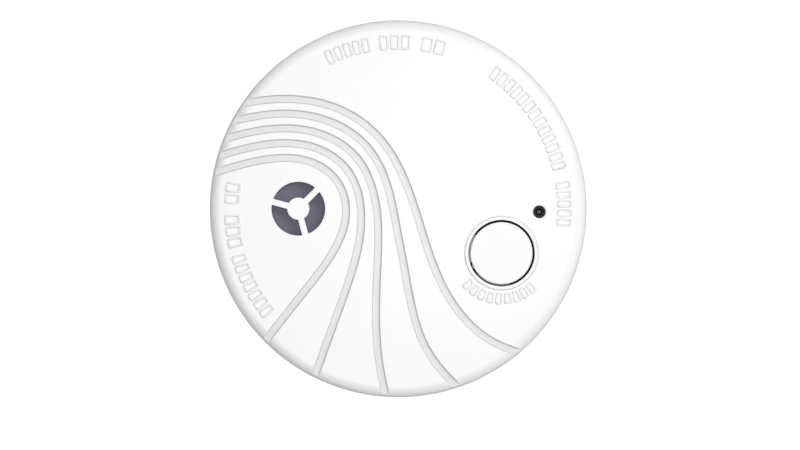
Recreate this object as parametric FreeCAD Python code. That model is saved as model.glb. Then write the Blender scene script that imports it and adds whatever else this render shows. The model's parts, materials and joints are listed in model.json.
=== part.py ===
import FreeCAD, Part
import math
import os
from FreeCAD import Vector

# Battery smoke detector, in millimetres. The origin is the centre of the mounting face,
# +Z points out of the wall or ceiling through the face of the detector.

UP = Vector(0, 0, 1)
ALONG_X = Vector(1, 0, 0)

# How far a cutting shape runs past a face, how far a fused shape reaches into the one that it stands on,
# and how close two measures are when they count as the same
PAST = 1.0
ROOT = 0.5
NEAR = 0.05

# Outer shape
COVER_R = 53.5
FACE_Z = 36.0
CLEAR_Z = FACE_Z + 2.0
DOME_SAG = 1.0
DOME_SAG_AT_R = 50.0
DOME_R = (DOME_SAG_AT_R ** 2 + DOME_SAG ** 2) / (2 * DOME_SAG)
EDGE_R = 3.0
SKIN = 2.0
SOFT_EDGE_R = 0.5
INLET_LOW_Z = 16.0
INLET_HIGH_Z = 20.0
FIN_COUNT = 60
FIN_THICK = 1.1
FIN_R_IN = 47.8
FIN_R_OUT = 52.4
LIP_THICK = 1.4

# Wave grooves in the face: centre lines from the left rim to the lower rim
GROOVE_WIDTH = 2.2
GROOVE_DEPTH = 0.8
GROOVES = (
    ((-54.8, 9.3), (-43.8, 12.6), (-33.8, 14.3), (-23.7, 12.8), (-16.9, 7.1), (-14.8, -1.8),
     (-18.5, -12.3), (-26.9, -23.8), (-40.4, -41.1)),
    ((-53.8, 13.9), (-43.8, 16.9), (-33.8, 18.5), (-23.7, 17.3), (-14.1, 10.5), (-10.5, -2.2),
     (-13.8, -19.8), (-19.9, -37), (-25.2, -52.1)),
    ((-52.8, 18.6), (-43.8, 21.2), (-33.8, 22.7), (-22.8, 21.4), (-12, 14.7), (-6.6, 2.8),
     (-5.8, -14.2), (-6.3, -31.2), (-5.2, -44.8), (-3, -55.2)),
    ((-50.8, 23.8), (-41.8, 25.9), (-31.8, 26.9), (-20.3, 25), (-9.1, 17.8), (-2.6, 4.9),
     (-0.6, -4.6), (1, -12.8), (3.9, -28.1), (8.1, -39.9), (19.4, -53)),
    ((-49.8, 28.5), (-39.8, 30.5), (-29.8, 31), (-17.8, 28.6), (-5.6, 20.3), (2.6, 6.1),
     (9, -13.4), (15.9, -27.5), (25.8, -37.1), (41.3, -42.6)),
)
GROOVE_EDGE_SAMPLES = 36
GROOVE_CUT_LOW_Z = FACE_Z / 2
GROOVE_CUT_R = COVER_R + 8.0

# Places on the face
SOUNDER = (-28.3, 0.0)
PORT_R = 7.6
HUB_R = 3.15
SPOKE_WIDTH = 1.75
SPOKE_ANGLES = (45, 165, 285)
BUTTON = (29.2, -12.6)
BUTTON_HOLE_R = 9.4
BUTTON_R = 8.8
BUTTON_LIP_R = 10.5
BUTTON_LIP_RISE = 0.3
BUTTON_CAP_LOW_Z = FACE_Z - SKIN - 0.1
BUTTON_EDGE_R = 0.35
BUTTON_SKIRT_WALL = 1.15
BUTTON_SKIRT_BELOW = 0.1
BUTTON_STEM_R = 2.0
BUTTON_WEB_THICK = 1.0
BUTTON_WEB_ABOVE = 1.0

# The button's hooks, which hold it behind the cover's lip: from and to in degrees, and the top's z
BUTTON_HOOKS = ((145, 197, 33.4), (222, 285, 31.5))
BUTTON_HOOK_REACH = 0.4
LED = (39.9, -0.9)
LED_HOLE_R = 1.83

# Mounting plate and bayonet
PLATE_R = 50.6
PLATE_THICK = 2.2
PLATE_RING_R_IN = 44.8
PLATE_RING_R_OUT = 46.6
LUG_R = 49.0
LUG_LOW_Z = 4.6
LUG_HIGH_Z = 6.2
BAYONET_ANGLES = (30, 150, 270)
BAYONET_HALF_DEG = 9.0
STOP_GAP_DEG = 0.4
STOP_DEG = 2.5
SLOT_SPACING = 60.0
SLOT_LENGTH = 9.0
SLOT_R = 2.1
SLOT_RIM = 1.6
SLOT_RIM_RISE = 0.8
RIB_ANGLES = (60, 120, 240, 300)
RIB_HALF_THICK = 0.6
PLATE_HUB_R_IN = 6.5
PLATE_HUB_R_OUT = 8.5

# Rear housing
HOUSING_TOP_R = 52.9
HOUSING_BASE_R = 51.6
HOUSING_R_IN = 50.0
HOUSING_BASE_Z = 2.6
FLOOR_Z = 6.8
FLOOR_TOP_Z = 8.6
DECK_THICK = 1.4
LEDGE_R_IN = 47.2
LEDGE_LOW_Z = 2.8
LEDGE_HIGH_Z = 4.3
DECK_SLOPE = 0.6

# Screws that join the housing and the cover
HOUSING_SCREWS = ((-32.2, 27.0), (36.4, 21.0), (-30.4, -30.4), (32.3, -29.1))
BOSS_R = 3.2
BOSS_BASE_Z = 11.5
BOSS_TOP_Z = 34.2
PILOT_R = 1.27
PILOT_DEPTH = 10.0
SHANK_R = 1.25
SHANK_CLEARANCE = 0.25
SHANK_DEPTH = 8.0
HOUSING_SCREW_HEAD_R = 2.7
HOUSING_SCREW_HEAD = 1.9
CUP_R = 4.0
CUP_BORE_R = 2.9
CUP_SEAT_Z = 9.6

# The cross recess of every screw: its depth as a share of the head's height, its reach as a share of the
# head's radius, and half its width
RECESS_DEPTH = 0.45
RECESS_REACH = 0.6
RECESS_HALF_WIDTH = 0.3

# Main board
BOARD_Z = 12.0
BOARD_THICK = 1.6
BOARD_TOP_Z = BOARD_Z + BOARD_THICK
BOARD_R = 44.5
BOARD_SCREWS = ((-12.0, -15.0), (28.0, 5.0), (-38.0, 14.0))
BOARD_POST_R = 2.6
BOARD_HOLE_R = 1.15
BOARD_SHANK_R = 1.0
BOARD_PILOT_CLEARANCE = 0.02
BOARD_CLEARANCE = 0.6
BOARD_BAY_CLEARANCE = 0.7
BOARD_SCREW_HEAD_R = 2.0
BOARD_SCREW_HEAD = 1.4

# What stands on the main board
PROCESSOR_X = (-8.5, 0.0)
PROCESSOR_Y = (-12.0, -3.5)
PROCESSOR_STANDOFF = 0.1
PROCESSOR_HIGH = 1.5
PROCESSOR_LEGS = 8
PROCESSOR_LEG_PITCH = 0.9
PROCESSOR_LEG_WIDTH = 0.4
PROCESSOR_LEG_REACH = 1.0
PROCESSOR_LEG_HIGH = 0.3
PROCESSOR_LEG_MARGIN = 1.1
RADIO_X = (32.5, 41.5)
RADIO_Y = (-2.0, 12.0)
RADIO_CARRIER_HIGH = 0.8
RADIO_SHIELD_X = (33.3, 40.7)
RADIO_SHIELD_Y = (-1.2, 8.5)
RADIO_SHIELD_HIGH = 2.8
ANTENNA = (39.0, -12.0)
ANTENNA_R = 2.3
ANTENNA_WIRE_R = 0.4
ANTENNA_PITCH = 1.4
ANTENNA_LENGTH = 9.8
ANTENNA_STANDOFF = 0.05
CAPACITORS = ((8.0, -5.5), (8.0, -13.5))
CAPACITOR_R = 3.15
CAPACITOR_HIGH = 7.5
CAPACITOR_EDGE_R = 0.4
TRANSFORMER = (-19.5, -15.0)
TRANSFORMER_R = 3.4
TRANSFORMER_WINDING_R = 2.9
TRANSFORMER_HIGH = 6.0
TRANSFORMER_FLANGE = 1.0
CHIP_LONG = 1.6
CHIP_WIDE = 0.8
CHIP_HIGH = 0.6

# Rows of chips: the first one's corner, the pitch and how many
CHIP_ROW_BY_PROCESSOR = ((-13.5, -1.8), 3.0, 6)
CHIP_ROW_BY_CAPACITORS = ((13.6, -14.0), 2.6, 4)

# Battery bay
BATTERY_R = 8.5
BATTERY_LENGTH = 45.0
BATTERY_NUB_R = 3.0
BATTERY_NUB = 1.0
BATTERY_EDGE_R = 0.7
BATTERY_Y = -29.5
BATTERY_Z = 17.3
BATTERY_X_LOW = -21.6
BAY_HALF_LENGTH = 24.4
BAY_HALF_WIDTH = 8.8
BAY_WALL = 1.2
BAY_ROOF_Z = 26.0
TAB_Y_LOW = -24.0
TAB_Y_HIGH = -21.5
TAB_THICK = 0.4
TAB_END_X = 29.5
TAB_SLOT_CLEARANCE = 0.2
CONTACT_HALF_SPAN = 6.0
SPRING_R = 3.4
SPRING_WIRE_R = 0.3
SPRING_PITCH = 0.68
SPRING_GAP = 0.02

# Button board, under the button and the status LED
BUTTON_BOARD_Z = 26.0
BUTTON_BOARD_TOP_Z = 27.6
BUTTON_BOARD_OUTLINE = (
    (17.5, 3.5), (17.5, -18.6), (27.0, -18.6), (32.0, -25.0), (40.5, -25.0), (45.5, -15.0), (45.5, 3.5),
)
BUTTON_BOARD_SCREWS = ((20.5, -1.0), (38.0, -22.0))
BUTTON_POST_R = 2.4
BUTTON_PILOT_R = 0.87
BUTTON_PILOT_DEPTH = 4.0
BUTTON_SHANK_R = 0.85
BUTTON_SHANK_DEPTH = 3.5
BUTTON_SCREW_HOLE_GAP = 0.3
BUTTON_SCREW_HEAD_R = 1.7
BUTTON_SCREW_HEAD = 1.3
SWITCH_SIDE = 6.0
SWITCH_CORNER = 0.5
SWITCH_TOP_Z = 30.9
SWITCH_BORE_DEPTH = 2.2
ACTUATOR_TOP_Z = 31.5
ACTUATOR_R = 1.7
ACTUATOR_GAP = 0.05
ACTUATOR_DEPTH = 1.5
LED_TIP_CENTRE_Z = 31.0
LED_FLANGE = 1.0
LED_SPACER_R = 2.5
LED_SPACER_TOP_Z = 33.2
LED_SPACER_GAP = 0.04
LINK_PIN_X = (19.0, 21.54, 24.08, 26.62)
LINK_PIN_Y = -16.6
LINK_PIN_SIDE = 0.64
LINK_PIN_HOLE_R = 0.5
LINK_PIN_ABOVE = 0.6
LINK_HEADER_HALF = 1.27
LINK_HEADER_HIGH = 2.5

# Optical chamber
CHAMBER = (6.0, 23.0)
CHAMBER_R = 20.9
CHAMBER_BASE_Z = 14.0
CHAMBER_FLOOR_Z = 15.4
CHAMBER_CAP_Z = 27.2
CHAMBER_TOP_Z = 28.4
SCREEN_R_OUT = 20.1
SCREEN_THICK = 0.2
SCREEN_Z_LOW = 15.5
SCREEN_Z_HIGH = 27.1
VANE_COUNT = 18
VANE_R = 16.6
VANE_LENGTH = 6.0
VANE_THICK = 0.8
VANE_TURN = 50
EMITTER_ANGLE = 200
RECEIVER_ANGLE = 60
OPTICS_Z = 20.0
OPTICS_R = 1.5
OPTICS_RIM_R = 1.9
OPTIC_FRONT_X = 10.6
OPTIC_RIM_X = 14.45
OPTIC_BARREL = 3.9
OPTIC_RIM = 0.8
OPTIC_GAP = 0.05
HOLDER_X = (9.5, 17.8)
HOLDER_HALF_WIDTH = 2.8
HOLDER_TOP_Z = 24.0
HOLDER_CHANNEL_X = 14.4
HOLDER_CHANNEL_HALF_WIDTH = 2.1
LEAD_Y = 0.9
LEAD_HALF_WIDTH = 0.25
LEAD_X = (15.0, 16.1, 16.6)
LEAD_GAP = 0.1
RIM_GAP = 0.1
RIM_HIGH = 0.8
VANE_TOP_GAP = 0.2
VANE_CLEAR_DEG = 18
CAP_RIM_DEPTH = 1.0
CAP_RIM_BELOW_TOP = 0.2
CAP_STEP_IN = 5.0
CAP_STEP_HIGH = 0.8
TRAP_RADII = (3.0, 5.5, 8.0)
TRAP_THICK = 0.7
TRAP_DEPTH = 1.2
TRAP_ROOT = 0.3
CHAMBER_LEG_R = 1.0
CHAMBER_LEG_GAP = 0.05
CHAMBER_LEG_SHOULDER = 0.8
CHAMBER_LEG_LOW_Z = BOARD_Z - 0.6
CHAMBER_LEG_AT_R = 17.0
CHAMBER_LEG_ANGLES = (30, 150, 270)

# Sounder
SOUNDER_R = 13.0
SOUNDER_WALL = 1.2
SOUNDER_FRONT_Z = 31.6
SOUNDER_DISC_Z = 22.3
SOUNDER_DISC_R = 11.5
SOUNDER_DISC_THICK = 0.3
CERAMIC_R = 8.0
CERAMIC_THICK = 0.25
SOUND_HOLE_R = 2.0
SOUNDER_EDGE_R = 0.6
HORN_SIDE_WALL = 2.2
BASE_SIDE_WALL = 2.4
DISC_SEAT_GAP = 0.05
CONTACT_R = 0.4
CONTACT_HOLE_R = 0.5
CONTACT_SPREAD = 4.0
SEAL_MARGIN = 0.8

# Tamper switch: its plunger rides down a ramp on the plate as the head turns
TAMPER = (0.0, 30.0)
HEAD_TURN_DEG = 20.0
TAMPER_TRAVEL = 0.5
TAMPER_TIP_Z = 3.75
TAMPER_R = 1.5
TAMPER_HOLE_R = 1.65
TAMPER_GAP = 0.05
TAMPER_RISE = TAMPER_TIP_Z - TAMPER_GAP
RAMP_MARGIN = 2.5
RAMP_Y_LOW = TAMPER[1] - 4.0
RAMP_WIDTH = 6.5
TAMPER_PIN_TOP_Z = 9.6
TAMPER_STEM_R = 0.95
TAMPER_STEM_TOP_Z = 11.7
TAMPER_COLLAR_R = 1.35
TAMPER_COLLAR_LOW_Z = 11.35
TAMPER_SWITCH_HALF = 2.6
TAMPER_SWITCH_LOW_Z = 10.3
TAMPER_NECK_R = 1.05
TAMPER_CAVITY_R = 1.5
TAMPER_CAVITY_Z = (10.75, 11.8)

# Blank label on the back of the housing
LABEL_X = (-14.0, 20.0)
LABEL_Y = (-12.0, 4.0)
LABEL_THICK = 0.1


# ---- small helpers -------------------------------------------------------------------------

def cylinder(radius, z_low, z_high, centre=(0, 0)):
    return Part.makeCylinder(radius, z_high - z_low, Vector(centre[0], centre[1], z_low))


def ring(r_in, r_out, z_low, z_high, centre=(0, 0)):
    return cylinder(r_out, z_low, z_high, centre).cut(cylinder(r_in, z_low, z_high, centre))


def block(x_low, x_high, y_low, y_high, z_low, z_high):
    return Part.makeBox(x_high - x_low, y_high - y_low, z_high - z_low, Vector(x_low, y_low, z_low))


def sector(r_in, r_out, z_low, z_high, start_deg, end_deg, centre=(0, 0)):
    """A ring's arc from one angle to another."""
    corner = Vector(centre[0], centre[1], z_low)
    wedge = Part.makeCylinder(r_out, z_high - z_low, corner, UP, end_deg - start_deg)
    wedge.rotate(corner, UP, start_deg)
    return wedge.cut(cylinder(r_in, z_low, z_high, centre))


def turned(shape, centre, degrees):
    """A copy of a shape, turned about a vertical line through centre."""
    copy = shape.copy()
    copy.rotate(Vector(centre[0], centre[1], 0), UP, degrees)
    return copy


def moved(shape, x, y, z=0.0):
    copy = shape.copy()
    copy.translate(Vector(x, y, z))
    return copy


def fuse(shapes):
    return shapes[0].fuse(list(shapes[1:])).removeSplitter()


def revolve(points):
    """Turns a closed outline of (radius, z) points about the Z axis."""
    corners = [Vector(r, 0, z) for r, z in points]
    outline = Part.Face(Part.makePolygon(corners + corners[:1]))
    return outline.revolve(Vector(0, 0, 0), UP, 360)


def plate_of(points, z_low, z_high):
    """A flat plate with straight edges."""
    corners = [Vector(x, y, z_low) for x, y in points]
    return Part.Face(Part.makePolygon(corners + corners[:1])).extrude(Vector(0, 0, z_high - z_low))


def polar(radius, degrees, centre=(0, 0)):
    angle = math.radians(degrees)
    return (centre[0] + radius * math.cos(angle), centre[1] + radius * math.sin(angle))


def coil(radius, wire_r, pitch, height):
    """A spring of round wire that stands on z = 0 of its own frame."""
    helix = Part.makeHelix(pitch, height, radius)
    start = helix.Edges[0].Vertexes[0].Point
    tangent = helix.Edges[0].tangentAt(helix.Edges[0].FirstParameter)
    section = Part.Wire(Part.makeCircle(wire_r, start, tangent))
    return Part.Wire(helix.Edges).makePipeShell([section], True, True)


def cross_head_screw(head_r, head_z, head_top_z, shank_r, shank_end_z):
    """A pan head screw on the Z axis, from the head's outer face past head_z to the shank's end."""
    head = cylinder(head_r, *sorted((head_z, head_top_z)))
    shank = cylinder(shank_r, *sorted((head_z, shank_end_z)))
    depth = RECESS_DEPTH * abs(head_top_z - head_z)
    arm = RECESS_REACH * head_r
    slot = (head_top_z - depth, head_top_z + depth)
    across = block(-arm, arm, -RECESS_HALF_WIDTH, RECESS_HALF_WIDTH, *slot)
    along = block(-RECESS_HALF_WIDTH, RECESS_HALF_WIDTH, -arm, arm, *slot)
    return fuse([head, shank]).cut(across).cut(along)


def group(shapes):
    return Part.makeCompound(shapes)


def soften(shape, places, radius=SOFT_EDGE_R):
    """Rounds the circular edges round the Z axis that lie at the given (radius, z) places."""
    chosen = []
    for edge in shape.Edges:
        box = edge.BoundBox
        at = (box.XLength / 2, box.ZMin)
        if box.ZLength < NEAR and any(math.dist(at, place) < NEAR for place in places):
            chosen.append(edge)
    return shape.makeFillet(radius, chosen)


# ---- the domed face ------------------------------------------------------------------------

def under_dome(depth, radius, z_low):
    """Everything under the face's dome, moved in by depth, inside a radius and above z_low."""
    sphere = Part.makeSphere(DOME_R - depth, Vector(0, 0, FACE_Z - DOME_R))
    return cylinder(radius, z_low, CLEAR_Z).common(sphere)


def groove_band(points):
    """One groove as a tall prism, GROOVE_WIDTH wide about its centre line."""
    centre_line = Part.BSplineCurve()
    centre_line.interpolate([Vector(x, y, 0) for x, y in points])
    sides = ([], [])
    for step in range(GROOVE_EDGE_SAMPLES + 1):
        share = step / GROOVE_EDGE_SAMPLES
        first, last = centre_line.FirstParameter, centre_line.LastParameter
        here = first + share * (last - first)
        point = centre_line.value(here)
        along = centre_line.tangent(here)[0]
        across = Vector(-along.y, along.x, 0).multiply(GROOVE_WIDTH / 2)
        sides[0].append(point.add(across))
        sides[1].append(point.sub(across))
    edges = []
    for side in sides:
        curve = Part.BSplineCurve()
        curve.interpolate(side)
        edges.append(curve.toShape())
    start = Part.makeLine(sides[0][0], sides[1][0])
    end = Part.makeLine(sides[0][-1], sides[1][-1])
    outline = Part.Wire(Part.__sortEdges__([edges[0], end, edges[1], start]))
    prism = Part.Face(outline).extrude(Vector(0, 0, FACE_Z))
    return moved(prism, 0, 0, GROOVE_CUT_LOW_Z)


def port_openings():
    """The three curved windows between the hub and the rim of the sounder port."""
    windows = ring(HUB_R, PORT_R, SOUNDER_FRONT_Z, FACE_Z + PAST, SOUNDER)
    half = SPOKE_WIDTH / 2
    spoke = block(0, PORT_R + PAST, -half, half, SOUNDER_FRONT_Z - PAST, CLEAR_Z)
    spokes = [moved(turned(spoke, (0, 0), angle), *SOUNDER) for angle in SPOKE_ANGLES]
    return windows.cut(spokes)


# ---- casing --------------------------------------------------------------------------------

def front_cover():
    outer = under_dome(0, COVER_R, INLET_HIGH_Z)
    rim = [e for e in outer.Edges if e.BoundBox.ZMin > FACE_Z - EDGE_R and e.BoundBox.XLength > COVER_R]
    outer = soften(outer.makeFillet(EDGE_R, rim), [(COVER_R, INLET_HIGH_Z)])
    inner = under_dome(SKIN, COVER_R - SKIN, INLET_HIGH_Z - PAST)
    inner_top = FACE_Z - SKIN - EDGE_R
    inner_rim = [e for e in inner.Edges if e.BoundBox.ZMin > inner_top and e.BoundBox.XLength > COVER_R]
    inner = inner.makeFillet(EDGE_R - SKIN, inner_rim)
    shell = outer.cut(inner)
    lip = ring(FIN_R_IN, COVER_R - SKIN / 2, INLET_HIGH_Z, INLET_HIGH_Z + LIP_THICK)
    half = FIN_THICK / 2
    fin = block(FIN_R_IN, FIN_R_OUT, -half, half, INLET_LOW_Z, INLET_HIGH_Z + LIP_THICK / 2)
    fins = [turned(fin, (0, 0), k * 360 / FIN_COUNT) for k in range(FIN_COUNT)]
    bosses = [cylinder(BOSS_R, BOSS_BASE_Z, BOSS_TOP_Z, at) for at in HOUSING_SCREWS]
    posts = [cylinder(BUTTON_POST_R, BUTTON_BOARD_TOP_Z, BOSS_TOP_Z, at) for at in BUTTON_BOARD_SCREWS]
    button_lip = ring(BUTTON_HOLE_R, BUTTON_LIP_R, FACE_Z - SKIN, FACE_Z + PAST, BUTTON)
    button_lip = button_lip.common(under_dome(-BUTTON_LIP_RISE, COVER_R, INLET_HIGH_Z))
    body = shell.fuse([lip, button_lip] + fins + bosses + posts)
    holes = [
        cylinder(BUTTON_HOLE_R, SOUNDER_FRONT_Z, CLEAR_Z, BUTTON),
        cylinder(LED_HOLE_R, SOUNDER_FRONT_Z, CLEAR_Z, LED),
        port_openings(),
    ]
    pilot_end = BOSS_BASE_Z + PILOT_DEPTH
    holes += [cylinder(PILOT_R, BOSS_BASE_Z - PAST, pilot_end, at) for at in HOUSING_SCREWS]
    pilot_end = BUTTON_BOARD_TOP_Z + BUTTON_PILOT_DEPTH
    holes += [cylinder(BUTTON_PILOT_R, BUTTON_BOARD_Z, pilot_end, at) for at in BUTTON_BOARD_SCREWS]
    groove_floor = under_dome(GROOVE_DEPTH, GROOVE_CUT_R, GROOVE_CUT_LOW_Z - PAST)
    grooves = [groove_band(points).cut(groove_floor) for points in GROOVES]
    return body.cut(holes + grooves)


def battery_bay():
    """The outside of the walls and the roof round the cell."""
    outer_x = BAY_HALF_LENGTH + BAY_WALL
    outer_y = BAY_HALF_WIDTH + BAY_WALL
    roof_top = BAY_ROOF_Z + BAY_WALL
    return block(-outer_x, outer_x, BATTERY_Y - outer_y, BATTERY_Y + outer_y, FLOOR_Z, roof_top)


def battery_space():
    """The room for the cell, open at the back of the housing."""
    low, high = BATTERY_Y - BAY_HALF_WIDTH, BATTERY_Y + BAY_HALF_WIDTH
    return block(-BAY_HALF_LENGTH, BAY_HALF_LENGTH, low, high, FLOOR_Z - PAST, BAY_ROOF_Z)


def rear_housing():
    wall = revolve([
        (0, FLOOR_Z), (HOUSING_R_IN, FLOOR_Z), (HOUSING_R_IN, HOUSING_BASE_Z),
        (HOUSING_BASE_R, HOUSING_BASE_Z), (HOUSING_TOP_R, INLET_LOW_Z), (FIN_R_IN, INLET_LOW_Z),
        (FIN_R_IN, INLET_LOW_Z - DECK_THICK), (HOUSING_R_IN + DECK_SLOPE, INLET_LOW_Z - DECK_THICK),
        (HOUSING_R_IN, FLOOR_TOP_Z), (0, FLOOR_TOP_Z),
    ])
    wall = soften(wall, [(HOUSING_BASE_R, HOUSING_BASE_Z), (HOUSING_TOP_R, INLET_LOW_Z)])
    ledges = []
    for angle in BAYONET_ANGLES:
        start, end = angle - BAYONET_HALF_DEG, angle + BAYONET_HALF_DEG
        stop = end + STOP_GAP_DEG
        reach = HOUSING_R_IN + ROOT
        ledges.append(sector(LEDGE_R_IN, reach, LEDGE_LOW_Z, LEDGE_HIGH_Z, start, stop + STOP_DEG))
        ledges.append(sector(LEDGE_R_IN, reach, LEDGE_LOW_Z, FLOOR_Z + ROOT, stop, stop + STOP_DEG))
    cups = [cylinder(CUP_R, FLOOR_Z, BOSS_BASE_Z, at) for at in HOUSING_SCREWS]
    posts = [cylinder(BOARD_POST_R, FLOOR_Z, BOARD_Z, at) for at in BOARD_SCREWS]
    body = fuse([wall, battery_bay()] + ledges + cups + posts)
    holes = [battery_space()]
    for at in HOUSING_SCREWS:
        holes.append(cylinder(CUP_BORE_R, FLOOR_Z - PAST, CUP_SEAT_Z, at))
        holes.append(cylinder(SHANK_R + SHANK_CLEARANCE, CUP_SEAT_Z - PAST, BOSS_BASE_Z + PAST, at))
    pilot_r = BOARD_SHANK_R + BOARD_PILOT_CLEARANCE
    holes += [cylinder(pilot_r, FLOOR_TOP_Z - PAST, BOARD_Z + PAST, at) for at in BOARD_SCREWS]
    holes.append(cylinder(TAMPER_HOLE_R, FLOOR_Z - PAST, FLOOR_TOP_Z + PAST, TAMPER))
    y_low, y_high = TAB_Y_LOW - TAB_SLOT_CLEARANCE, TAB_Y_HIGH + TAB_SLOT_CLEARANCE
    slot_top = BOARD_TOP_Z + TAB_THICK + TAB_SLOT_CLEARANCE
    for side in (-1, 1):
        x_range = sorted((side * (BAY_HALF_LENGTH - PAST), side * (BAY_HALF_LENGTH + BAY_WALL + PAST)))
        holes.append(block(*x_range, y_low, y_high, BOARD_TOP_Z, slot_top))
    return body.cut(holes)


def mounting_plate():
    flange = soften(cylinder(PLATE_R, 0, PLATE_THICK), [(PLATE_R, 0), (PLATE_R, PLATE_THICK)])
    upstand = ring(PLATE_RING_R_IN, PLATE_RING_R_OUT, PLATE_THICK / 2, LUG_HIGH_Z)
    lugs = []
    for angle in BAYONET_ANGLES:
        start, end = angle - BAYONET_HALF_DEG, angle + BAYONET_HALF_DEG
        lugs.append(sector(PLATE_RING_R_IN + ROOT, LUG_R, LUG_LOW_Z, LUG_HIGH_Z, start, end))
    raised = PLATE_THICK + SLOT_RIM_RISE
    slot_rims = [slot_shape(side, SLOT_R + SLOT_RIM, ROOT, raised) for side in (-1, 1)]
    rib_x = (PLATE_HUB_R_OUT - ROOT, PLATE_RING_R_IN + ROOT)
    rib = block(*rib_x, -RIB_HALF_THICK, RIB_HALF_THICK, PLATE_THICK / 2, raised)
    ribs = [turned(rib, (0, 0), angle) for angle in RIB_ANGLES]
    hub = ring(PLATE_HUB_R_IN, PLATE_HUB_R_OUT, PLATE_THICK / 2, raised)
    body = fuse([flange, upstand, tamper_ramp(), hub] + lugs + slot_rims + ribs)
    slots = [slot_shape(side, SLOT_R, -PAST, raised + PAST) for side in (-1, 1)]
    return body.cut(slots)


def slot_shape(side, radius, z_low, z_high):
    """One screw slot, long along X, as a solid."""
    reach = SLOT_LENGTH / 2 - SLOT_R
    middle = side * SLOT_SPACING / 2
    ends = [cylinder(radius, z_low, z_high, (middle + way * reach, 0)) for way in (-1, 1)]
    return fuse([block(middle - reach, middle + reach, -radius, radius, z_low, z_high)] + ends)


def tamper_ramp():
    """A wedge under the tamper plunger, level where it locks and falling the way the head turns."""
    run = TAMPER[1] * math.sin(math.radians(HEAD_TURN_DEG))
    fall = TAMPER_TRAVEL / run
    end = run + RAMP_MARGIN
    side = [
        (RAMP_MARGIN, PLATE_THICK / 2), (RAMP_MARGIN, TAMPER_RISE), (0, TAMPER_RISE),
        (-end, TAMPER_RISE - fall * end), (-end, PLATE_THICK / 2),
    ]
    corners = [Vector(x, RAMP_Y_LOW, z) for x, z in side]
    return Part.Face(Part.makePolygon(corners + corners[:1])).extrude(Vector(0, RAMP_WIDTH, 0))


# ---- button, LED and their board -----------------------------------------------------------

def test_button():
    skirt_low = ACTUATOR_TOP_Z - BUTTON_SKIRT_BELOW
    into_cap = BUTTON_CAP_LOW_Z + ROOT
    cap = cylinder(BUTTON_R, BUTTON_CAP_LOW_Z, CLEAR_Z, BUTTON).common(under_dome(0, COVER_R, INLET_HIGH_Z))
    middle_z = (BUTTON_CAP_LOW_Z + FACE_Z) / 2
    top_edge = [e for e in cap.Edges if e.BoundBox.ZMin > middle_z and e.BoundBox.XLength > BUTTON_R]
    cap = cap.makeFillet(BUTTON_EDGE_R, top_edge)
    skirt = ring(BUTTON_R - BUTTON_SKIRT_WALL, BUTTON_R, skirt_low, into_cap, BUTTON)
    stem = cylinder(BUTTON_STEM_R, ACTUATOR_TOP_Z, into_cap, BUTTON)
    hook_r = (BUTTON_R - ROOT, BUTTON_LIP_R + BUTTON_HOOK_REACH)
    hooks = [sector(*hook_r, skirt_low, top, start, end, BUTTON) for start, end, top in BUTTON_HOOKS]
    reach, half = BUTTON_R - ROOT, BUTTON_WEB_THICK / 2
    web = block(-reach, reach, -half, half, ACTUATOR_TOP_Z + BUTTON_WEB_ABOVE, into_cap)
    webs = [moved(turned(web, (0, 0), angle), *BUTTON) for angle in (0, 90)]
    return fuse([cap, skirt, stem] + hooks + webs)


def button_board():
    board = plate_of(BUTTON_BOARD_OUTLINE, BUTTON_BOARD_Z, BUTTON_BOARD_TOP_Z)
    low, high = BUTTON_BOARD_Z - PAST, BUTTON_BOARD_TOP_Z + PAST
    hole_r = BUTTON_PILOT_R + BUTTON_SCREW_HOLE_GAP
    holes = [cylinder(hole_r, low, high, at) for at in BUTTON_BOARD_SCREWS]
    holes += [cylinder(LINK_PIN_HOLE_R, low, high, (x, LINK_PIN_Y)) for x in LINK_PIN_X]
    return board.cut(holes)


def button_switch_body():
    half = SWITCH_SIDE / 2
    x, y = BUTTON
    body = block(x - half, x + half, y - half, y + half, BUTTON_BOARD_TOP_Z, SWITCH_TOP_Z)
    upright = [e for e in body.Edges if e.BoundBox.ZLength > NEAR]
    body = body.makeChamfer(SWITCH_CORNER, upright)
    bore_low = SWITCH_TOP_Z - SWITCH_BORE_DEPTH
    return body.cut(cylinder(ACTUATOR_R + ACTUATOR_GAP, bore_low, SWITCH_TOP_Z + PAST, BUTTON))


def button_switch_actuator():
    return cylinder(ACTUATOR_R, SWITCH_TOP_Z - ACTUATOR_DEPTH, ACTUATOR_TOP_Z, BUTTON)


def status_led():
    flange = cylinder(OPTICS_RIM_R, BUTTON_BOARD_TOP_Z, BUTTON_BOARD_TOP_Z + LED_FLANGE, LED)
    barrel = cylinder(OPTICS_R, BUTTON_BOARD_TOP_Z, LED_TIP_CENTRE_Z, LED)
    tip = Part.makeSphere(OPTICS_R, Vector(*LED, LED_TIP_CENTRE_Z))
    return fuse([flange, barrel, tip])


def led_spacer():
    low = BUTTON_BOARD_TOP_Z + LED_FLANGE
    return ring(OPTICS_R + LED_SPACER_GAP, LED_SPACER_R, low, LED_SPACER_TOP_Z, LED)


# ---- main board and what is on it ----------------------------------------------------------

def main_board():
    board = cylinder(BOARD_R, BOARD_Z, BOARD_TOP_Z)
    low, high = BOARD_Z - PAST, BOARD_TOP_Z + PAST
    bay_x = BAY_HALF_LENGTH + BAY_WALL + BOARD_CLEARANCE
    bay_y = BATTERY_Y + BAY_HALF_WIDTH + BAY_WALL + BOARD_BAY_CLEARANCE
    holes = [block(-bay_x, bay_x, -COVER_R, bay_y, low, high)]
    holes += [cylinder(BOSS_R + BOARD_CLEARANCE, low, high, at) for at in HOUSING_SCREWS]
    holes += [cylinder(BOARD_HOLE_R, low, high, at) for at in BOARD_SCREWS]
    legs = [polar(CHAMBER_LEG_AT_R, angle, CHAMBER) for angle in CHAMBER_LEG_ANGLES]
    holes += [cylinder(CHAMBER_LEG_R + CHAMBER_LEG_GAP, low, high, at) for at in legs]
    return board.cut(holes)


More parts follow.
